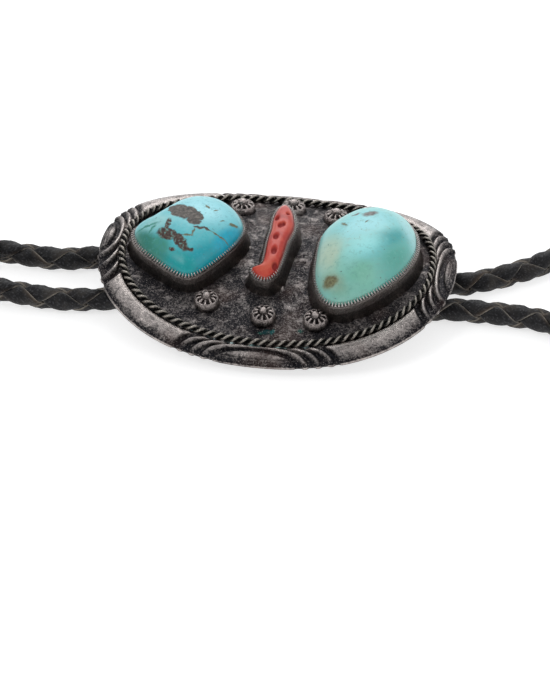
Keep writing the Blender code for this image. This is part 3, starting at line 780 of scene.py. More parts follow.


# %% [markdown]
# ## Finish: oxidised silver
# Sterling silver is blackened with liver of sulphur, then rubbed until its raised parts shine again. So the
# wear value of each point drives the colour, from warm bright silver to blue-black sulphide; on the bezel
# walls the same value also paints light and shade. The sulphide is duller and rougher. Grit of 0.3 mm,
# patches of
# 2.6 mm and scratches of 0.2 mm break the edge between the two, bright flecks of 0.2 mm lie over both, a
# little green verdigris lies in the field, and thin pale painted highlights lie along the front inner edge of
# the rim.

# %% Oxidised silver
# Verdigris, and thin pale painted highlights along the front inner edge of the rim, on the body. Columns,
# in mm and degrees: middle x and y, two radii, turn, softness, colour.
VERDIGRIS_AND_GLINTS = (
    (0.5, -15.3, 0.8, 0.35, 10, 0.5, "#23484a"), (1.5, -15.2, 0.45, 0.3, 60, 0.5, "#2b6464"),
    (-0.4, -15.6, 0.4, 0.25, 0, 0.5, "#2f5d55"), (5.6, -14.6, 0.4, 0.3, 0, 0.6, "#2c4c46"),
    # The last six spots are thin pale painted highlights along the front inner edge of the rim.
    (-10.6, -16.1, 0.7, 0.14, -26, 0.4, "#a3b6b8"), (-7.6, -17.0, 0.5, 0.14, -18, 0.4, "#9fb1b6"),
    (-4.6, -17.6, 0.6, 0.14, -9, 0.4, "#a9bcbd"), (-1.0, -17.8, 0.8, 0.14, 0, 0.4, "#8fb3b2"),
    (3.0, -17.7, 0.9, 0.14, 6, 0.4, "#9dbcba"), (6.6, -17.2, 0.6, 0.14, 15, 0.4, "#a3b6b8"),
)


def silver_material(name, bright, dark, brown=0.25, shift=0.0, marks=()):
    material, tree, shader = new_material(name)
    place, ragged = noisy_place(tree, 0.8 * MM, 1400.0)
    # This value is wear, and on the bezel walls it also holds painted light and shade.
    worn = add_node(tree, "ShaderNodeAttribute", attribute_name="worn").outputs["Fac"]
    grit = add_node(tree, "ShaderNodeTexNoise", {
        "Vector": place, "Scale": 3000.0, "Detail": 5.0, "Roughness": 0.7}).outputs["Fac"]
    patches = add_node(tree, "ShaderNodeTexNoise", {
        "Vector": place, "Scale": 380.0, "Detail": 5.0, "Roughness": 0.65, "Distortion": 0.9}).outputs["Fac"]
    combed = add_node(tree, "ShaderNodeMapping", {
        "Vector": ragged, "Rotation": (0.0, 0.0, math.radians(-28)), "Scale": (1500.0, 5200.0, 3000.0)})
    lines = add_node(tree, "ShaderNodeTexNoise", {
        "Vector": combed, "Scale": 1.0, "Detail": 3.0, "Distortion": 1.6}).outputs["Fac"]
    total = worn
    for source, reach, middle in ((grit, 1.3, -0.65), (patches, 1.3, shift - 0.65), (lines, 0.8, -0.40)):
        part = add_node(tree, "ShaderNodeMath", {0: source, 1: reach, 2: middle}, operation="MULTIPLY_ADD")
        total = add_node(tree, "ShaderNodeMath", {0: total, 1: part}, operation="ADD")
    share = add_node(tree, "ShaderNodeMapRange", {"Value": total, "From Min": 0.10, "From Max": 0.95},
                     interpolation_type="SMOOTHSTEP").outputs[0]
    metal = add_node(tree, "ShaderNodeMix", {0: share, 6: dark, 7: bright}, data_type="RGBA").outputs[2]
    stain = add_node(tree, "ShaderNodeTexNoise", {
        "Vector": place, "Scale": 170.0, "Detail": 3.0}).outputs["Fac"]
    stained = add_node(tree, "ShaderNodeMapRange", {
        "Value": stain, "From Min": 0.50, "From Max": 0.70, "To Max": brown}).outputs[0]
    colour = add_node(tree, "ShaderNodeMix", {
        0: stained, 6: metal, 7: "#5a4238"}, data_type="RGBA").outputs[2]
    # Verdigris spots, and on the body thin pale painted highlights.
    colour = paint(tree, ragged, colour, marks)
    flecks = add_node(tree, "ShaderNodeTexNoise", {
        "Vector": place, "Scale": 5200.0, "Detail": 2.0}).outputs["Fac"]
    flecks = add_node(tree, "ShaderNodeMapRange", {
        "Value": flecks, "From Min": 0.58, "From Max": 0.70, "To Max": 0.6}).outputs[0]
    colour = add_node(tree, "ShaderNodeMix", {0: flecks, 6: colour, 7: bright}, data_type="RGBA").outputs[2]
    tree.links.new(colour, shader.inputs["Base Color"])
    rough = add_node(tree, "ShaderNodeMapRange", {
        "Value": share, "To Min": 0.50, "To Max": 0.20}).outputs[0]
    tree.links.new(rough, shader.inputs["Roughness"])
    shader.inputs["Metallic"].default_value = 1.0
    relief = grit
    for finer in (patches, lines):
        relief = add_node(tree, "ShaderNodeMath", {0: relief, 1: finer}, operation="ADD")
    bump = add_node(tree, "ShaderNodeBump", {"Height": relief, "Strength": 0.7, "Distance": 0.10 * MM})
    tree.links.new(bump.outputs[0], shader.inputs["Normal"])
    return material


silver = silver_material("oxidised_sterling_silver", "#b4aca8", "#222226", marks=VERDIGRIS_AND_GLINTS)
# The bezel's dark tone is paler than the body's: painted light that stands in for what the walls would
# reflect.
bezel_silver = silver_material("oxidised_silver_bezel", "#b0a8a3", "#625c5a", brown=0.45)
rubbed_silver = silver_material("rubbed_silver", "#b5aba7", "#1a1819", brown=0.1)
bright_silver = silver_material("bright_silver_teeth", "#d2ccc8", "#3a3635", brown=0.0)

# %% Add the slide's body
rows = slide_rows()
body = ring_mesh("slide_body", [[arched(x, s, h) for x, s, h, _ in row] for row in rows], silver,
                 [w for row in rows for _, _, _, w in row])
finish_piece(body, "oxidised_silver", "slide")

# %% [markdown]
# ## Twisted wire
# Two round wires are twisted together and soldered inside the rim. Modelling one turn and arraying it along
# a closed oval would leave a seam, so a rule makes it: the oval is tilted steadily along its length, and a
# profile of two small circles is swept along it.

# %% Twisted wire tree
STRAND_RADIUS = 0.29 * MM
WIRE_TURNS = 48
WIRE_STEPS_PER_TURN = 20


def twisted_wire_tree():
    tree, given, result = new_rule("twisted_wire", (
        ("Strand Radius", "Float", STRAND_RADIUS), ("Turns", "Int", WIRE_TURNS),
        ("Steps", "Int", WIRE_TURNS * WIRE_STEPS_PER_TURN)))
    path = add_node(tree, "GeometryNodeResampleCurve", {"Curve": given["Geometry"], "Count": given["Steps"]})
    upright = add_node(tree, "GeometryNodeSetCurveNormal", {"Curve": path}, mode="Z_UP")
    turns = add_node(tree, "ShaderNodeMath", {
        0: add_node(tree, "GeometryNodeInputIndex"), 1: given["Steps"]}, operation="DIVIDE")
    for factor in (given["Turns"], -2 * math.pi):
        turns = add_node(tree, "ShaderNodeMath", {0: turns, 1: factor}, operation="MULTIPLY")
    tilted = add_node(tree, "GeometryNodeSetCurveTilt", {"Curve": upright, "Tilt": turns})
    centre = add_node(tree, "GeometryNodeCaptureAttribute", {"Geometry": tilted}, domain="POINT")
    centre.capture_items.new("VECTOR", "Middle")
    tree.links.new(add_node(tree, "GeometryNodeInputPosition").outputs[0], centre.inputs[1])
    strand = add_node(tree, "GeometryNodeCurvePrimitiveCircle", {"Resolution": 10,
                                                                 "Radius": given["Strand Radius"]})
    halves = []
    for side in (1.0, -1.0):
        off = add_node(tree, "ShaderNodeMath", {0: given["Strand Radius"], 1: side}, operation="MULTIPLY")
        off = add_node(tree, "ShaderNodeCombineXYZ", {"X": off})
        halves.append(add_node(tree, "GeometryNodeTransform", {"Geometry": strand, "Translation": off}))
    pair = add_node(tree, "GeometryNodeJoinGeometry")
    for half in halves:
        tree.links.new(half.outputs[0], pair.inputs[0])
    swept = add_node(tree, "GeometryNodeCurveToMesh", {"Curve": centre, "Profile Curve": pair})
    reach = add_node(tree, "ShaderNodeVectorMath", {
        0: add_node(tree, "GeometryNodeInputPosition"), 1: centre.outputs[1]},
        operation="DISTANCE").outputs["Value"]
    reach = add_node(tree, "ShaderNodeMath", {0: reach, 1: given["Strand Radius"]}, operation="DIVIDE")
    worn = add_node(tree, "ShaderNodeMapRange", {"Value": reach, "From Min": 1.25, "From Max": 2.0})
    stored = add_node(tree, "GeometryNodeStoreNamedAttribute", {
        "Geometry": swept, "Name": "worn", "Value": worn},
        data_type="FLOAT", domain="POINT")
    whole = add_node(tree, "GeometryNodeRealizeInstances", {"Geometry": stored})
    dressed = add_node(tree, "GeometryNodeSetMaterial", {"Geometry": whole, "Material": given["Material"]})
    tree.links.new(dressed.outputs[0], result.inputs[0])
    return tree


wire_rule = twisted_wire_tree()

# %% Add the twisted wire
WIRE_INSET = RIM_WIDTH + WIRE_DIAMETER / 2
wire_angles, wire_length = even_angles(720, WIRE_INSET)
WIRE_HEIGHT = PLATE_THICKNESS + WIRE_REST - 0.05 * MM
wire_path = [arched(*oval_flat(angle, WIRE_INSET), WIRE_HEIGHT) for angle, _ in wire_angles]
wire_silver = silver_material("oxidised_silver_wire", "#a09a92", "#191a1a", brown=0.1, shift=-0.05)
wire = grown_mesh("twisted_wire", route_curve("wire_path", wire_path, closed=True), wire_rule,
                  {"Material": wire_silver})
finish_piece(wire, "oxidised_silver", "slide")
print("wire length, mm:", round(wire_length / MM, 1))

# %% [markdown]
# ## Outlines of the stones
# The stones are cut freehand, so each outline is a table of places that a smooth closed curve joins. A
# cabochon rises straight from its foot to its widest line, the girdle, and then domes over.

# %% Outlines of the stones
LEFT_STONE_OUTLINE = (
    (-1.00, -0.08), (-0.85, -0.43), (-0.49, -0.71), (-0.11, -0.93), (0.18, -1.00), (0.45, -0.82),
    (0.75, -0.45), (0.95, -0.08), (1.00, 0.25), (0.81, 0.64), (0.46, 0.95), (0.06, 1.00),
    (-0.27, 0.82), (-0.51, 0.54), (-0.76, 0.22),
)
RIGHT_STONE_OUTLINE = (
    (-1.00, -0.01), (-0.99, -0.28), (-0.95, -0.56), (-0.83, -0.81), (-0.60, -0.98), (-0.31, -1.00),
    (0.06, -0.87), (0.45, -0.63), (0.81, -0.31), (0.99, 0.03), (1.00, 0.30), (0.89, 0.58),
    (0.59, 0.86), (0.12, 1.00), (-0.29, 0.92), (-0.60, 0.71), (-0.84, 0.47), (-0.98, 0.23),
)
BEZEL_FOOT = 0.2 * MM
STONE_STEPS = 160
DOME_STEPS = 26


def smooth_loop(points, count):
    """Read a closed smooth curve through the points, evenly in count steps."""
    total = len(points)
    curve = []
    for step in range(count):
        i, t = divmod(step * total / count, 1.0)
        near = [points[(int(i) + k) % total] for k in (-1, 0, 1, 2)]
        curve.append(tuple(spline_value(*(p[k] for p in near), t) for k in (0, 1)))
    return curve


def offset_outline(outline, distance):
    """Move each point of a closed anticlockwise outline outwards along its own normal."""
    total = len(outline)
    moved = []
    for i, (x, y) in enumerate(outline):
        before = outline[i - 1]
        after = outline[(i + 1) % total]
        run = Vector((after[0] - before[0], after[1] - before[1])).normalized()
        moved.append((x + distance * run.y, y - distance * run.x))
    return moved


class Cabochon:
    """A stone: its outline at the girdle, its middle on the field and its heights."""

    def __init__(self, outline, half_length, half_width, girdle, dome, place):
        self.outline = [(x * half_length, y * half_width) for x, y in smooth_loop(outline, STONE_STEPS)]
        self.girdle = PLATE_THICKNESS + girdle
        self.dome = dome
        self.middle = (place[0] * FIELD_HALF_LENGTH, place[1] * FIELD_HALF_WIDTH)
        self.wall_top = self.girdle + 0.15 * MM

    def ring(self, offset, share, height):
        points = offset_outline(self.outline, offset)
        return [arched(self.middle[0] + x * share, self.middle[1] + y * share, height) for x, y in points]

    def rings(self):
        """Foot, side, girdle and dome."""
        foot = PLATE_THICKNESS + BEZEL_FOOT + CLEARANCE
        rings = [self.ring(0, 0.3, foot), self.ring(0, 0.97, foot), self.ring(0, 1.0, foot + 0.1 * MM)]
        rings.append(self.ring(0, 1.0, self.girdle))
        for step in range(1, DOME_STEPS):
            share = math.cos(math.pi / 2 * step / DOME_STEPS)
            rings.append(self.ring(0, share, self.girdle + self.dome * (1 - share ** 2.3) ** 0.5))
        return rings


left_cabochon = Cabochon(LEFT_STONE_OUTLINE, 8.07 * MM, 8.66 * MM, 2.6 * MM, 3.2 * MM, (-0.600, 0.031))
right_cabochon = Cabochon(RIGHT_STONE_OUTLINE, 7.23 * MM, 10.17 * MM, 3.2 * MM, 3.9 * MM, (0.597, -0.068))

# %% [markdown]
# ## Finish: turquoise
# Turquoise is a waxy, slightly see-through mineral, polished to a soft gloss. Its blue comes from copper
# and its green from iron, so the colour drifts across a stone. Brown and black matrix is the host rock that
# fills its cracks. Tones and matrix are tables of spots, placed where the photograph shows them, and one
# function turns such tables into a material. Some tones are painted light: a pale top on each stone, and a
# painted reflection near the far edge of the right one.

# %% Turquoise helper
def polish(tree, shader, colour, dull):
    """Waxy gloss, a little dulled where the mask says."""
    tree.links.new(colour, shader.inputs["Base Color"])
    rough = add_node(tree, "ShaderNodeMapRange", {"Value": dull, "To Min": 0.34, "To Max": 0.6}).outputs[0]
    tree.links.new(rough, shader.inputs["Roughness"])
    bump = add_node(tree, "ShaderNodeBump", {"Height": dull, "Strength": 0.25, "Distance": -0.06 * MM})
    tree.links.new(bump.outputs[0], shader.inputs["Normal"])
    shader.inputs["IOR"].default_value = 1.61
    shader.inputs["Specular IOR Level"].default_value = 0.35


def turquoise(name, stops, tones_and_light, matrix, rock, speck):
    """Broad tones, some of them painted light, then ragged matrix in the colours of the host rock, then fine
    specks.
    """
    material, tree, shader = new_material(name)
    place, gentle = noisy_place(tree, 1.4 * MM, 300.0)
    ragged = noisy_place(tree, 0.9 * MM, 1300.0)[1]
    mottle = add_node(tree, "ShaderNodeTexNoise", {"Vector": place, "Scale": 1300.0, "Detail": 5.0,
                                                   "Roughness": 0.75}).outputs["Fac"]
    base = add_node(tree, "ShaderNodeValToRGB", {"Fac": mottle}, stops)
    colour = paint(tree, gentle, base, tones_and_light)
    for low, high, most, tone in ((0.51, 0.66, 0.50, speck), (0.46, 0.30, 0.22, stops[-1][1])):
        shade = add_node(tree, "ShaderNodeMapRange", {
            "Value": mottle, "From Min": low, "From Max": high, "To Max": most}).outputs[0]
        colour = add_node(tree, "ShaderNodeMix", {0: shade, 6: colour, 7: tone}, data_type="RGBA").outputs[2]
    dots = add_node(tree, "ShaderNodeTexVoronoi", {"Vector": ragged, "Scale": 1300.0}).outputs["Distance"]
    dot = add_node(tree, "ShaderNodeMapRange", {"Value": dots, "From Min": 0.17, "From Max": 0.06}).outputs[0]
    sparse = add_node(tree, "ShaderNodeMapRange", {
        "Value": mottle, "From Min": 0.50, "From Max": 0.56}).outputs[0]
    dot = add_node(tree, "ShaderNodeMath", {0: dot, 1: sparse}, operation="MULTIPLY").outputs[0]
    colour = add_node(tree, "ShaderNodeMix", {0: dot, 6: colour, 7: "#4a5a52"}, data_type="RGBA").outputs[2]
    grains = add_node(tree, "ShaderNodeTexNoise", {
        "Vector": place, "Scale": 2600.0, "Detail": 4.0}).outputs["Fac"]
    masks = []
    for kind, spots in matrix.items():
        masks.append(strongest(tree, [spot(tree, ragged, p[:2], p[2:4], p[4], p[5]) for p in spots]))
        stone = add_node(tree, "ShaderNodeValToRGB", {"Fac": grains}, rock[kind])
        colour = add_node(tree, "ShaderNodeMix", {
            0: masks[-1], 6: colour, 7: stone}, data_type="RGBA").outputs[2]
    polish(tree, shader, colour, strongest(tree, masks))
    return material


# %% Left turquoise
# Tones of the stone; the first, a pale top, is painted light. Columns, in mm and degrees: middle x and y,
# two radii, turn, softness, colour.
LEFT_TONES_AND_LIGHT = (
    (-12.2, 4.4, 5.6, 3.6, -37, 0.75, "#95dde7"), (-18.9, -0.9, 2.5, 1.7, 23, 0.7, "#8fcccd"),
    (-10.3, -6.3, 4.4, 1.7, 46, 0.7, "#00a2b0"), (-14.2, -7.6, 3.9, 1.3, -20, 0.7, "#12a4a6"),
    (-7.2, -1.5, 3.2, 1.3, 61, 0.5, "#10aeca"), (-19.2, -4.2, 3.8, 1.2, -42, 0.5, "#2a7e6e"),
    (-17.2, -4.8, 1.8, 1.1, -42, 0.7, "#389282"),
)
# Matrix. Columns, in mm and degrees: middle x and y, two radii, turn, softness of the edge.
LEFT_MATRIX = {
    "green": ((-19.9, -1.3, 1.9, 0.22, 14, 0.5), (-18.9, -2.0, 0.9, 0.2, 60, 0.5)),
    "vein": ((-8.7, -2.0, 1.5, 0.14, -12, 0.5), (-12.5, -2.6, 0.2, 0.7, -10, 0.4),
             (-13.2, -3.4, 0.8, 0.15, 5, 0.4), (-6.9, 1.2, 0.75, 0.28, 23, 0.3),
             (-8.6, 1.1, 0.4, 0.15, 32, 0.4), (-11.3, 4.0, 0.6, 0.2, -50, 0.4),
             (-9.9, 3.4, 0.4, 0.15, 36, 0.4)),
    "brown": ((-16.3, -3.2, 1.8, 1.0, -26, 0.15), (-14.1, -4.7, 1.9, 0.85, -52, 0.15),
              (-16.6, -1.3, 1.3, 0.42, 83, 0.2), (-15.2, -5.9, 0.55, 0.25, -22, 0.3),
              (-12.5, -5.9, 0.6, 0.3, -17, 0.3), (-11.8, -1.5, 0.8, 0.3, 3, 0.3),
              (-10.7, -1.4, 0.7, 0.2, -17, 0.3)),
    "dark": ((-16.2, 2.4, 2.1, 0.8, -66, 0.1), (-15.1, 2.2, 2.4, 1.3, -60, 0.1),
             (-13.3, 1.4, 2.3, 1.1, -62, 0.1), (-12.1, 1.2, 1.2, 0.5, -64, 0.15),
             (-12.8, -0.2, 1.2, 0.85, -18, 0.15)),
}
HOST_ROCK = {
    "green": ((0.3, "#2f7f74"), (0.7, "#4f9f92")),
    "vein": ((0.3, "#4e5a4a"), (0.7, "#7c7a5c")),
    "brown": ((0.30, "#241a17"), (0.48, "#432d27"), (0.56, "#5a4d3f"), (0.66, "#5a9f9c")),
    "dark": ((0.30, "#2f2c2a"), (0.52, "#524c47"), (0.74, "#7f7970")),
    "olive": ((0.3, "#55533a"), (0.7, "#85855f")),
    "grey": ((0.3, "#54504e"), (0.7, "#8f8f8c")),
}
LEFT_STOPS = ((0.30, "#3cabb6"), (0.50, "#55bfc8"), (0.70, "#7bd2da"))

left_material = turquoise("blue_turquoise", LEFT_STOPS, LEFT_TONES_AND_LIGHT, LEFT_MATRIX, HOST_ROCK, "#3a93a0")
left_stone = ring_mesh("turquoise_left_stone", left_cabochon.rings(), left_material)
finish_piece(left_stone, "turquoise", "turquoise_left")

# %% Right turquoise
# Tones of the stone. The first row is a pale top, painted light, and the row at 19.2 mm is a painted
# reflection along the far edge.
RIGHT_TONES_AND_LIGHT = (
    (13.3, 2.3, 5.4, 3.4, 37, 0.8, "#8ed8de"), (8.8, -5.5, 4.0, 2.0, -78, 0.7, "#b2ccb6"),
    (13.4, -8.6, 3.4, 2.4, 10, 0.8, "#7fc4ae"), (17.0, -1.6, 4.6, 1.6, 50, 0.7, "#48a7a8"),
    (18.6, -4.4, 3.3, 1.5, 58, 0.7, "#5fb2a5"), (11.7, -6.8, 2.2, 1.2, 76, 1.0, "#8accc0"),
    (14.0, -4.0, 2.8, 1.6, 42, 0.8, "#96e4e4"), (12.0, -11.4, 3.0, 0.9, 19, 0.7, "#84c4b4"),
    (19.2, 2.9, 3.4, 0.9, -61, 1.0, "#a4dcdf"), (9.8, -10.4, 2.1, 1.2, -26, 0.6, "#8fb29a"),
)
RIGHT_MATRIX = {
    "vein": ((10.0, 1.2, 0.7, 0.3, -55, 0.6), (13.4, 1.9, 0.45, 0.16, 57, 0.5)),
    "olive": ((9.5, -10.3, 1.05, 0.85, -10, 0.35),),
    "grey": ((13.6, 4.4, 1.3, 0.7, 42, 0.4), (11.4, 4.1, 0.8, 0.25, 38, 0.4)),
}
RIGHT_STOPS = ((0.30, "#6fc3bf"), (0.50, "#83cfca"), (0.70, "#addfda"))

right_material = turquoise("green_turquoise", RIGHT_STOPS, RIGHT_TONES_AND_LIGHT, RIGHT_MATRIX, HOST_ROCK, "#6aa89d")
right_stone = ring_mesh("turquoise_right_stone", right_cabochon.rings(), right_material)
finish_piece(right_stone, "turquoise", "turquoise_right")

# %% [markdown]
# ## Coral bar
# The coral is a slice of branch, narrow and tall, with a toe at its front end. It is built from sections
# front to back. Its small round pits are pressed into the mesh, because their shaded walls show.

# %% Coral bar
CORAL_SECTIONS = (
    (-1.00, -0.30, 0.03), (-0.95, -0.67, 0.25), (-0.87, -0.94, 0.46), (-0.82, -1.00, 0.54),
    (-0.76, -0.62, 0.59), (-0.66, -0.41, 0.64), (-0.40, -0.38, 0.73), (-0.09, -0.40, 0.82),
    (0.18, -0.34, 0.98), (0.36, -0.38, 1.00), (0.53, -0.39, 0.88), (0.72, -0.34, 0.70),
    (0.87, -0.23, 0.47), (0.95, -0.14, 0.33), (1.00, 0.03, 0.19),
)
CORAL_HALF_LENGTH = 2.43 * MM
CORAL_HALF_WIDTH = 8.7 * MM
CORAL_GIRDLE = 2.6 * MM
CORAL_DOME = 1.1 * MM
CORAL_MIDDLE = (-0.022 * FIELD_HALF_LENGTH, 0.0715 * FIELD_HALF_WIDTH)
CORAL_SECTION_STEPS = 7
CORAL_SIDE_POINTS = 40
CORAL_OUTLINE_STEPS = 120
# How much darker the flank on the right is painted, on the scale of the pits: painted shade.
CORAL_FLANK_SHADE = 0.42
PIT_DEPTH = 0.40 * MM
# Pits: columns are x and y in the flat layout, and the radii along and across, in mm.
CORAL_PITS = (
    (-0.82, 5.10, 0.36, 0.62), (0.61, 6.45, 0.30, 0.40), (-0.06, 3.25, 0.46, 0.62), (0.36, 3.55, 0.34, 0.62),
    (-0.32, 0.50, 0.48, 0.68), (-0.12, -2.65, 0.50, 0.86), (0.48, -5.55, 0.52, 0.80),
)


def coral_sections(offset=0.0):
    """Each section's place across the slide and its left and right sides."""
    last = len(CORAL_SECTIONS) - 1
    for step in range(last * CORAL_SECTION_STEPS + 1):
        i = min(step // CORAL_SECTION_STEPS, last - 1)
        t = step / CORAL_SECTION_STEPS - i
        near = [CORAL_SECTIONS[min(max(i + k, 0), last)] for k in (-1, 0, 1, 2)]
        share, left, right = (spline_value(*(row[k] for row in near), t) for k in range(3))
        yield share, left * CORAL_HALF_LENGTH - offset, right * CORAL_HALF_LENGTH + offset


def pit_depth(x, across):
    depth = 0.0
    for pit_x, pit_y, along, wide in CORAL_PITS:
        share = math.hypot((x / MM - pit_x) / along, (across / MM - pit_y) / wide)
        depth = max(depth, 1 - soft_step((share - 0.45) / 0.75))
    return depth


def coral_rings():
    """Rings round each section, and how much painted shade each point gets: from its depth in a pit, and on
    the right flank.
    """
    girdle = PLATE_THICKNESS + CORAL_GIRDLE
    floor = PLATE_THICKNESS + BEZEL_FOOT + CLEARANCE
    rings = []
    painted_shades = []
    for share, left, right in coral_sections():
        across = CORAL_MIDDLE[1] + share * CORAL_HALF_WIDTH
        end = 1 - 0.65 * abs(share) ** 6
        ring = [arched(CORAL_MIDDLE[0] + right, across, floor)]
        painted_shades.append(0.0)
        for i in range(CORAL_SIDE_POINTS + 1):
            turn = math.pi * i / CORAL_SIDE_POINTS
            x = CORAL_MIDDLE[0] + (left + right) / 2 + (right - left) / 2 * math.copysign(
                abs(math.cos(turn)) ** 0.85, math.cos(turn))
            depth = pit_depth(x, across)
            lift = CORAL_DOME * end * math.sin(turn) ** 0.8 - depth * PIT_DEPTH
            # The flank on the right is painted darker: painted shade.
            flank_shade = CORAL_FLANK_SHADE * soft_step((math.cos(turn) - 0.72) / 0.2)
            ring.append(arched(x, across, girdle + max(lift, 0.0)))
            painted_shades.append(max(depth, flank_shade))
        ring.append(arched(CORAL_MIDDLE[0] + left, across, floor))
        painted_shades.append(0.0)
        rings.append(ring)
    return rings, painted_shades


# %% [markdown]
# ## Finish: red coral
# Precious coral is calcium carbonate that a small animal built. It is salmon to red, darker where growth
# lines run, and takes a porcelain-like polish. The pits are painted darker red the deeper they are, and the
# flank on the right is painted darker red too: painted shade.

# %% Coral finish and piece
def coral_material():
    material, tree, shader = new_material("red_coral")
    place, ragged = noisy_place(tree, 0.8 * MM, 700.0)
    painted_shade = add_node(tree, "ShaderNodeAttribute", attribute_name="worn").outputs["Fac"]
    drift = add_node(tree, "ShaderNodeTexNoise", {
        "Vector": ragged, "Scale": 420.0, "Detail": 4.0}).outputs["Fac"]
    colour = add_node(tree, "ShaderNodeValToRGB", {"Fac": drift},
                      ((0.3, "#a6271c"), (0.5, "#c03c2e"), (0.7, "#cc5843")))
    # Deep in a pit, and on the right flank, the coral is painted darker red: painted shade.
    edge = add_node(tree, "ShaderNodeMapRange", {"Value": painted_shade, "From Min": 0.15, "From Max": 0.75}).outputs[0]
    colour = add_node(tree, "ShaderNodeMix", {0: edge, 6: colour, 7: "#8a1613"}, data_type="RGBA").outputs[2]
    polish(tree, shader, colour, edge)
    shader.inputs["IOR"].default_value = 1.49
    return material


rings, painted_shades = coral_rings()
coral = ring_mesh("coral_bar", rings, coral_material(), painted_shades)
finish_piece(coral, "coral", "coral")

# %% [markdown]
# ## Bezels
# A bezel is a thin strip of silver that is bent round the stone, soldered to the plate, and pressed over the
# stone's edge. This one has a sawtooth upper edge. The wall is a stack of rings round the outline. The teeth
# are one small wedge that Geometry Nodes set at even steps along the wall's top.

# %% Bezel walls
# Section of a wall: columns are the distance from the stone, the height as a share of the wall, and wear
# with painted light in it: a lit band up the wall, a band of painted shade at the foot and a painted
# highlight on the solder flare.
WALL_SECTION_WITH_LIGHT = (
    (1.25, -0.03, 0.60), (1.02, 0.03, 0.70), (0.84, 0.08, 0.45), (0.72, 0.16, 0.10), (0.62, 0.30, 0.10),
    (0.56, 0.52, 0.35), (0.54, 0.74, 0.60), (0.52, 0.86, 0.45), (0.44, 0.90, -0.1), (0.24, 0.88, -0.4),
    (0.06, 0.86, -0.4), (0.04, 0.80, 0.0),
)


def bezel_wall(name, ring_at, wall_top):
    """A wall from rings: ring_at gives a ring at an offset and a height."""
    rings = []
    worn = []
    # Each row's wear value also paints light and shade on the wall: lit bands, and painted shade at the foot.
    for offset, share, wear_and_shade_value in WALL_SECTION_WITH_LIGHT:
        ring = ring_at(offset * MM, PLATE_THICKNESS + (wall_top - PLATE_THICKNESS) * share)
        rings.append(ring)
        worn += [wear_and_shade_value] * len(ring)
    wall = ring_mesh(name, rings, bezel_silver, worn, closed=True)
    return finish_piece(wall, "oxidised_silver", "slide")


def coral_outline():
    """The coral's own outline in the flat layout, anticlockwise from its front end."""
    rows = list(coral_sections())
    right = [(r, share * CORAL_HALF_WIDTH) for share, _, r in rows]
    left = [(l, share * CORAL_HALF_WIDTH) for share, l, _ in reversed(rows)]
    return right + left


def even_outline(outline, count):
    """The same closed outline at even steps."""
    closed = [Vector(p) for p in outline + outline[:1]]
    return [tuple(closed[k].lerp(closed[k + 1], t))
            for k, t in even_places(running_lengths(closed), count, count)]


def coral_ring(offset, height):
    outline = offset_outline(even_outline(coral_outline(), CORAL_OUTLINE_STEPS), offset)
    return [arched(CORAL_MIDDLE[0] + x, CORAL_MIDDLE[1] + y, height) for x, y in outline]


coral_wall_top = PLATE_THICKNESS + CORAL_GIRDLE + 0.15 * MM
# Each bezel: its ring at an offset and a height, the height of its wall, and how far out its teeth start.
bezel_rings = {
    "left": (lambda offset, height: left_cabochon.ring(offset, 1.0, height), left_cabochon.wall_top,
             0.38 * MM),
    "right": (lambda offset, height: right_cabochon.ring(offset, 1.0, height), right_cabochon.wall_top,
              0.38 * MM),
    "coral": (coral_ring, coral_wall_top, 0.44 * MM),
}
for name, (ring_at, wall_top, _) in bezel_rings.items():
    bezel_wall("bezel_" + name, ring_at, wall_top)

# %% Tooth and its tree
TOOTH_PITCH = 0.50 * MM
TOOTH_WIDTH = 0.25 * MM
TOOTH_HEIGHT = 0.30 * MM
TOOTH_THICKNESS = 0.20 * MM
TOOTH_LEAN = 0.46 * MM
TOOTH_ROOT = 0.15 * MM
TOOTH_WEAR = 1.1


def tooth_object():
    """One wedge. Z runs along the wall, X points away from the stone and Y is down."""
    half = TOOTH_WIDTH / 2
    points = [(x, y, side * width)
              for x, y, width in ((0.0, TOOTH_ROOT, half), (TOOTH_THICKNESS, TOOTH_ROOT, half),
                                  (-TOOTH_LEAN, -TOOTH_HEIGHT, half / 4),
                                  (TOOTH_THICKNESS / 2 - TOOTH_LEAN, -TOOTH_HEIGHT, half / 4))
              for side in (-1, 1)]
    faces = [(0, 1, 3, 2), (4, 6, 7, 5), (0, 4, 5, 1), (2, 3, 7, 6), (0, 2, 6, 4), (1, 5, 7, 3)]
    return point_mesh("tooth", points, faces)


def teeth_tree():
    tree, given, result = new_rule("bezel_teeth", (
        ("Tooth", "Object", None), ("Tooth Pitch", "Float", TOOTH_PITCH)))
    upright = add_node(tree, "GeometryNodeSetCurveNormal", {"Curve": given["Geometry"]}, mode="Z_UP")
    spots = add_node(tree, "GeometryNodeCurveToPoints", {
        "Curve": upright, "Length": given["Tooth Pitch"]}, mode="LENGTH")
    tooth = add_node(tree, "GeometryNodeObjectInfo", {"Object": given["Tooth"]})
    placed = add_node(tree, "GeometryNodeInstanceOnPoints", {
        "Points": spots.outputs["Points"], "Instance": tooth.outputs["Geometry"],
        "Rotation": spots.outputs["Rotation"]})
    whole = add_node(tree, "GeometryNodeRealizeInstances", {"Geometry": placed})
    worn = add_node(tree, "GeometryNodeStoreNamedAttribute", {
        "Geometry": whole, "Name": "worn", "Value": TOOTH_WEAR}, data_type="FLOAT", domain="POINT")
    dressed = add_node(tree, "GeometryNodeSetMaterial", {"Geometry": worn, "Material": given["Material"]})
    tree.links.new(dressed.outputs[0], result.inputs[0])
    return tree


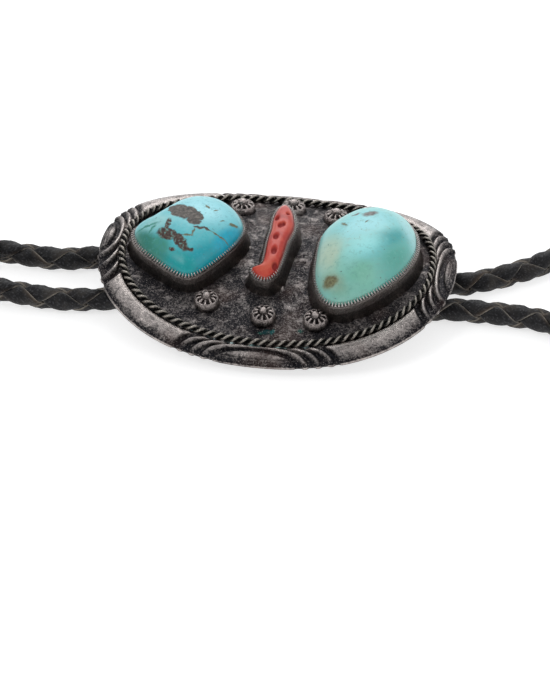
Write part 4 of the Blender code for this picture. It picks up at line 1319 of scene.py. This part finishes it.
# %% Add the teeth
teeth_rule = teeth_tree()
tooth = tooth_object()
for name, (ring_at, wall_top, offset) in bezel_rings.items():
    path = route_curve("teeth_path", ring_at(offset, wall_top), closed=True)
    teeth = grown_mesh("bezel_teeth_" + name, path, teeth_rule, {"Tooth": tooth, "Material": bright_silver})
    finish_piece(teeth, "oxidised_silver", "slide")
bpy.data.objects.remove(tooth)

# %% [markdown]
# ## Rosettes
# Six silver buttons were punched from sheet with a die: a scalloped edge, a ring of petals round the middle,
# and a ball on top. A turned profile gives the dome, and a wave round it presses in the petals.

# %% Rosettes
ROSETTE_PLACES = (
    (-0.400, -0.650), (-0.012, -0.762), (0.332, -0.756),
    (-0.318, 0.775), (0.018, 0.860), (0.321, 0.735),
)
ROSETTE_RADIUS = 1.98 * MM
ROSETTE_HEIGHT = 1.45 * MM
ROSETTE_PETALS = 10
ROSETTE_SIDES = 132
ROSETTE_ROWS = 26
ROSETTE_SCALLOP = 0.04
PETAL_DEPTH = 0.34 * MM
ROSETTE_LEAN = 0.45
BALL_RADIUS = 0.62 * MM


def rosette_profile(radius_share, turn):
    """Height of the button at a share of its radius, and how worn it is."""
    dome = (1 - (radius_share * 0.985) ** 5.0) ** 0.5
    if radius_share * ROSETTE_RADIUS < BALL_RADIUS:
        ball = math.sqrt(1 - (radius_share * ROSETTE_RADIUS / BALL_RADIUS) ** 2)
        return ROSETTE_HEIGHT * dome + BALL_RADIUS * 0.95 * ball ** 0.8, 0.35 + 0.65 * ball
    petal = 0.5 + 0.5 * math.cos(turn * ROSETTE_PETALS)
    hollow = soft_step((radius_share - 0.34) / 0.08) * soft_step((0.84 - radius_share) / 0.10)
    collar = soft_step((0.42 - radius_share) / 0.04)
    press = max(hollow * soft_step((petal - 0.14) / 0.26), 0.8 * collar)
    rubbed = 0.72 + 0.28 * hollow - 0.2 * soft_step((radius_share - 0.95) / 0.05)
    return ROSETTE_HEIGHT * dome - press * PETAL_DEPTH, rubbed * (1 - press)


def rosette_rings(x_share, y_share):
    x = x_share * FIELD_HALF_LENGTH
    across = y_share * FIELD_HALF_WIDTH
    foot = arched(x, across, PLATE_THICKNESS)
    lean = across / ARCH_RADIUS * ROSETTE_LEAN
    rings = []
    worn = []
    shares = [1.04, 1.0] + [1.0 - i / ROSETTE_ROWS for i in range(1, ROSETTE_ROWS)]
    for level, share in enumerate(shares):
        ring = []
        for i in range(ROSETTE_SIDES):
            turn = 2 * math.pi * i / ROSETTE_SIDES
            wave = 0.5 - 0.5 * math.cos(turn * ROSETTE_PETALS)
            scallop = 1 - ROSETTE_SCALLOP * wave * share
            height, wear_and_shade_value = rosette_profile(min(share, 1.0), turn)
            if level == 0:
                height, wear_and_shade_value = -0.5 * MM, 0.1
            radius = ROSETTE_RADIUS * share * scallop
            off = radius * math.sin(turn)
            ring.append(foot + Vector((
                radius * math.cos(turn), off * math.cos(lean) + height * math.sin(lean),
                height * math.cos(lean) - off * math.sin(lean))))
            worn.append(wear_and_shade_value)
        rings.append(ring)
    return rings, worn


for index, (x_share, y_share) in enumerate(ROSETTE_PLACES):
    rings, worn = rosette_rings(x_share, y_share)
    button = ring_mesh(f"rosette_{index}", rings, rubbed_silver, worn)
    finish_piece(button, "oxidised_silver", "slide")

# %% [markdown]
# ## Tips and clip
# The free ends are gripped by plain metal tips, turned from rod. The photograph doesn't show them, so they
# stay simple: a rolled bead at the mouth and a long taper. The clip behind the slide keeps its solid.

# %% Steel finish
def steel_material():
    material, tree, shader = new_material("satin_nickel_silver")
    place = add_node(tree, "ShaderNodeTexCoord").outputs["Object"]
    stretched = add_node(tree, "ShaderNodeMapping", {"Vector": place, "Scale": (300.0, 4000.0, 4000.0)})
    lines = add_node(tree, "ShaderNodeTexNoise", {"Vector": stretched, "Scale": 1.0,
                                                  "Detail": 3.0}).outputs["Fac"]
    colour = add_node(tree, "ShaderNodeValToRGB", {"Fac": lines}, ((0.3, "#8f8b86"), (0.7, "#b9b4ad")))
    tree.links.new(colour.outputs[0], shader.inputs["Base Color"])
    rough = add_node(tree, "ShaderNodeMapRange", {"Value": lines, "To Min": 0.26, "To Max": 0.42}).outputs[0]
    tree.links.new(rough, shader.inputs["Roughness"])
    shader.inputs["Metallic"].default_value = 1.0
    return material


steel = steel_material()
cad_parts["cord_clip"].material_slots[0].material = steel

# %% Tips
# Section of a tip: columns are the place along it as a share, and its radius as a share of its mouth's.
TIP_SECTION = (
    (0.000, 0.80), (0.004, 0.90), (0.014, 1.00), (0.040, 1.00), (0.052, 0.94), (0.064, 0.93), (0.076, 0.97),
    (0.10, 0.97), (0.50, 0.80), (0.90, 0.66), (0.93, 0.69), (0.965, 0.66), (0.985, 0.50), (1.0, 0.20),
)


def tip_rings(route):
    heading = route[-1] - route[-2]
    heading.z = 0.0
    heading.normalize()
    slope = (TIP_MOUTH_RADIUS - TIP_END_RADIUS) / TIP_LENGTH
    axis = Vector((heading.x, heading.y, -slope)).normalized()
    facing = axis.to_track_quat("Z", "Y").to_matrix().to_4x4()
    turn = Matrix.Translation(route[-1] + axis * CLEARANCE) @ facing
    sides = 48
    rings = []
    for share, radius_share in TIP_SECTION:
        radius = TIP_MOUTH_RADIUS * radius_share
        rings.append([turn @ Vector((radius * math.cos(2 * math.pi * i / sides),
                                     radius * math.sin(2 * math.pi * i / sides), share * TIP_LENGTH))
                      for i in range(sides)])
    return rings


tips = {}
for end in ("back", "front"):
    tips[end] = ring_mesh("tip_" + end, tip_rings(routes["cord_end_" + end]), steel)
    finish_piece(tips[end], "plain_steel", "cord_tip_" + end)
    route = routes["cord_end_" + end]

# %% [markdown]
# ## Floor and light
# A product table: a white acrylic floor lit a little from below, which takes the shadows away, a sky that is
# brighter behind the slide than in front, and three soft lamps. The large one above and behind puts a pale
# sheen on the far rim and on the tops of the stones.

# %% Floor
def make_floor():
    material, tree, shader = new_material("backlit_acrylic_table")
    place = add_node(tree, "ShaderNodeTexCoord").outputs["Object"]
    tooth = add_node(tree, "ShaderNodeTexNoise", {"Vector": place, "Scale": 900.0}).outputs["Fac"]
    bump = add_node(tree, "ShaderNodeBump", {"Height": tooth, "Strength": 0.05, "Distance": 0.02 * MM})
    tree.links.new(bump.outputs[0], shader.inputs["Normal"])
    shader.inputs["Base Color"].default_value = linear("#c8c8c8")
    shader.inputs["Roughness"].default_value = 0.8
    shader.inputs["Emission Color"].default_value = linear("#ffffff")
    shader.inputs["Emission Strength"].default_value = 0.70
    reach = 1.5
    mesh = bpy.data.meshes.new("table_top")
    mesh.from_pydata([(-reach, -reach, 0), (reach, -reach, 0), (reach, reach, 0), (-reach, reach, 0)], [],
                     [(0, 1, 2, 3)])
    mesh.materials.append(material)
    floor = add_object("table_top", mesh)
    return floor


floor = make_floor()

# %% Light
# Lamps: columns are the name, the place, the width in metres and the power in watts.
LAMPS = (
    ("sheen", (-0.10, 0.75, 0.55), 0.60, 2.4),
    ("key", (-0.45, -0.35, 0.70), 0.30, 1.25),
    ("fill", (0.60, -0.20, 0.45), 0.60, 0.8),
)
for name, place, width, power in LAMPS:
    lamp = bpy.data.lights.new(name, "AREA")
    lamp.shape = "DISK"
    lamp.size = width
    lamp.energy = power
    holder = add_object(name, lamp)
    holder.location = place
    holder.rotation_euler = Vector(place).to_track_quat("Z", "Y").to_euler()

world = bpy.data.worlds.new("sky")
bpy.context.scene.world = world
world.use_nodes = True
sky = world.node_tree
direction = add_node(sky, "ShaderNodeTexCoord").outputs["Generated"]
heading = add_node(sky, "ShaderNodeSeparateXYZ", {0: direction})
brightness = add_node(sky, "ShaderNodeMapRange", {
    "Value": heading.outputs["Y"], "From Min": -1.0, "From Max": 1.0, "To Min": 0.28, "To Max": 1.0})
sky.links.new(brightness.outputs[0], sky.nodes["Background"].inputs["Strength"])
sky.nodes["Background"].inputs["Color"].default_value = linear("#f2f3f5")
bpy.context.scene.view_settings.view_transform = "Standard"
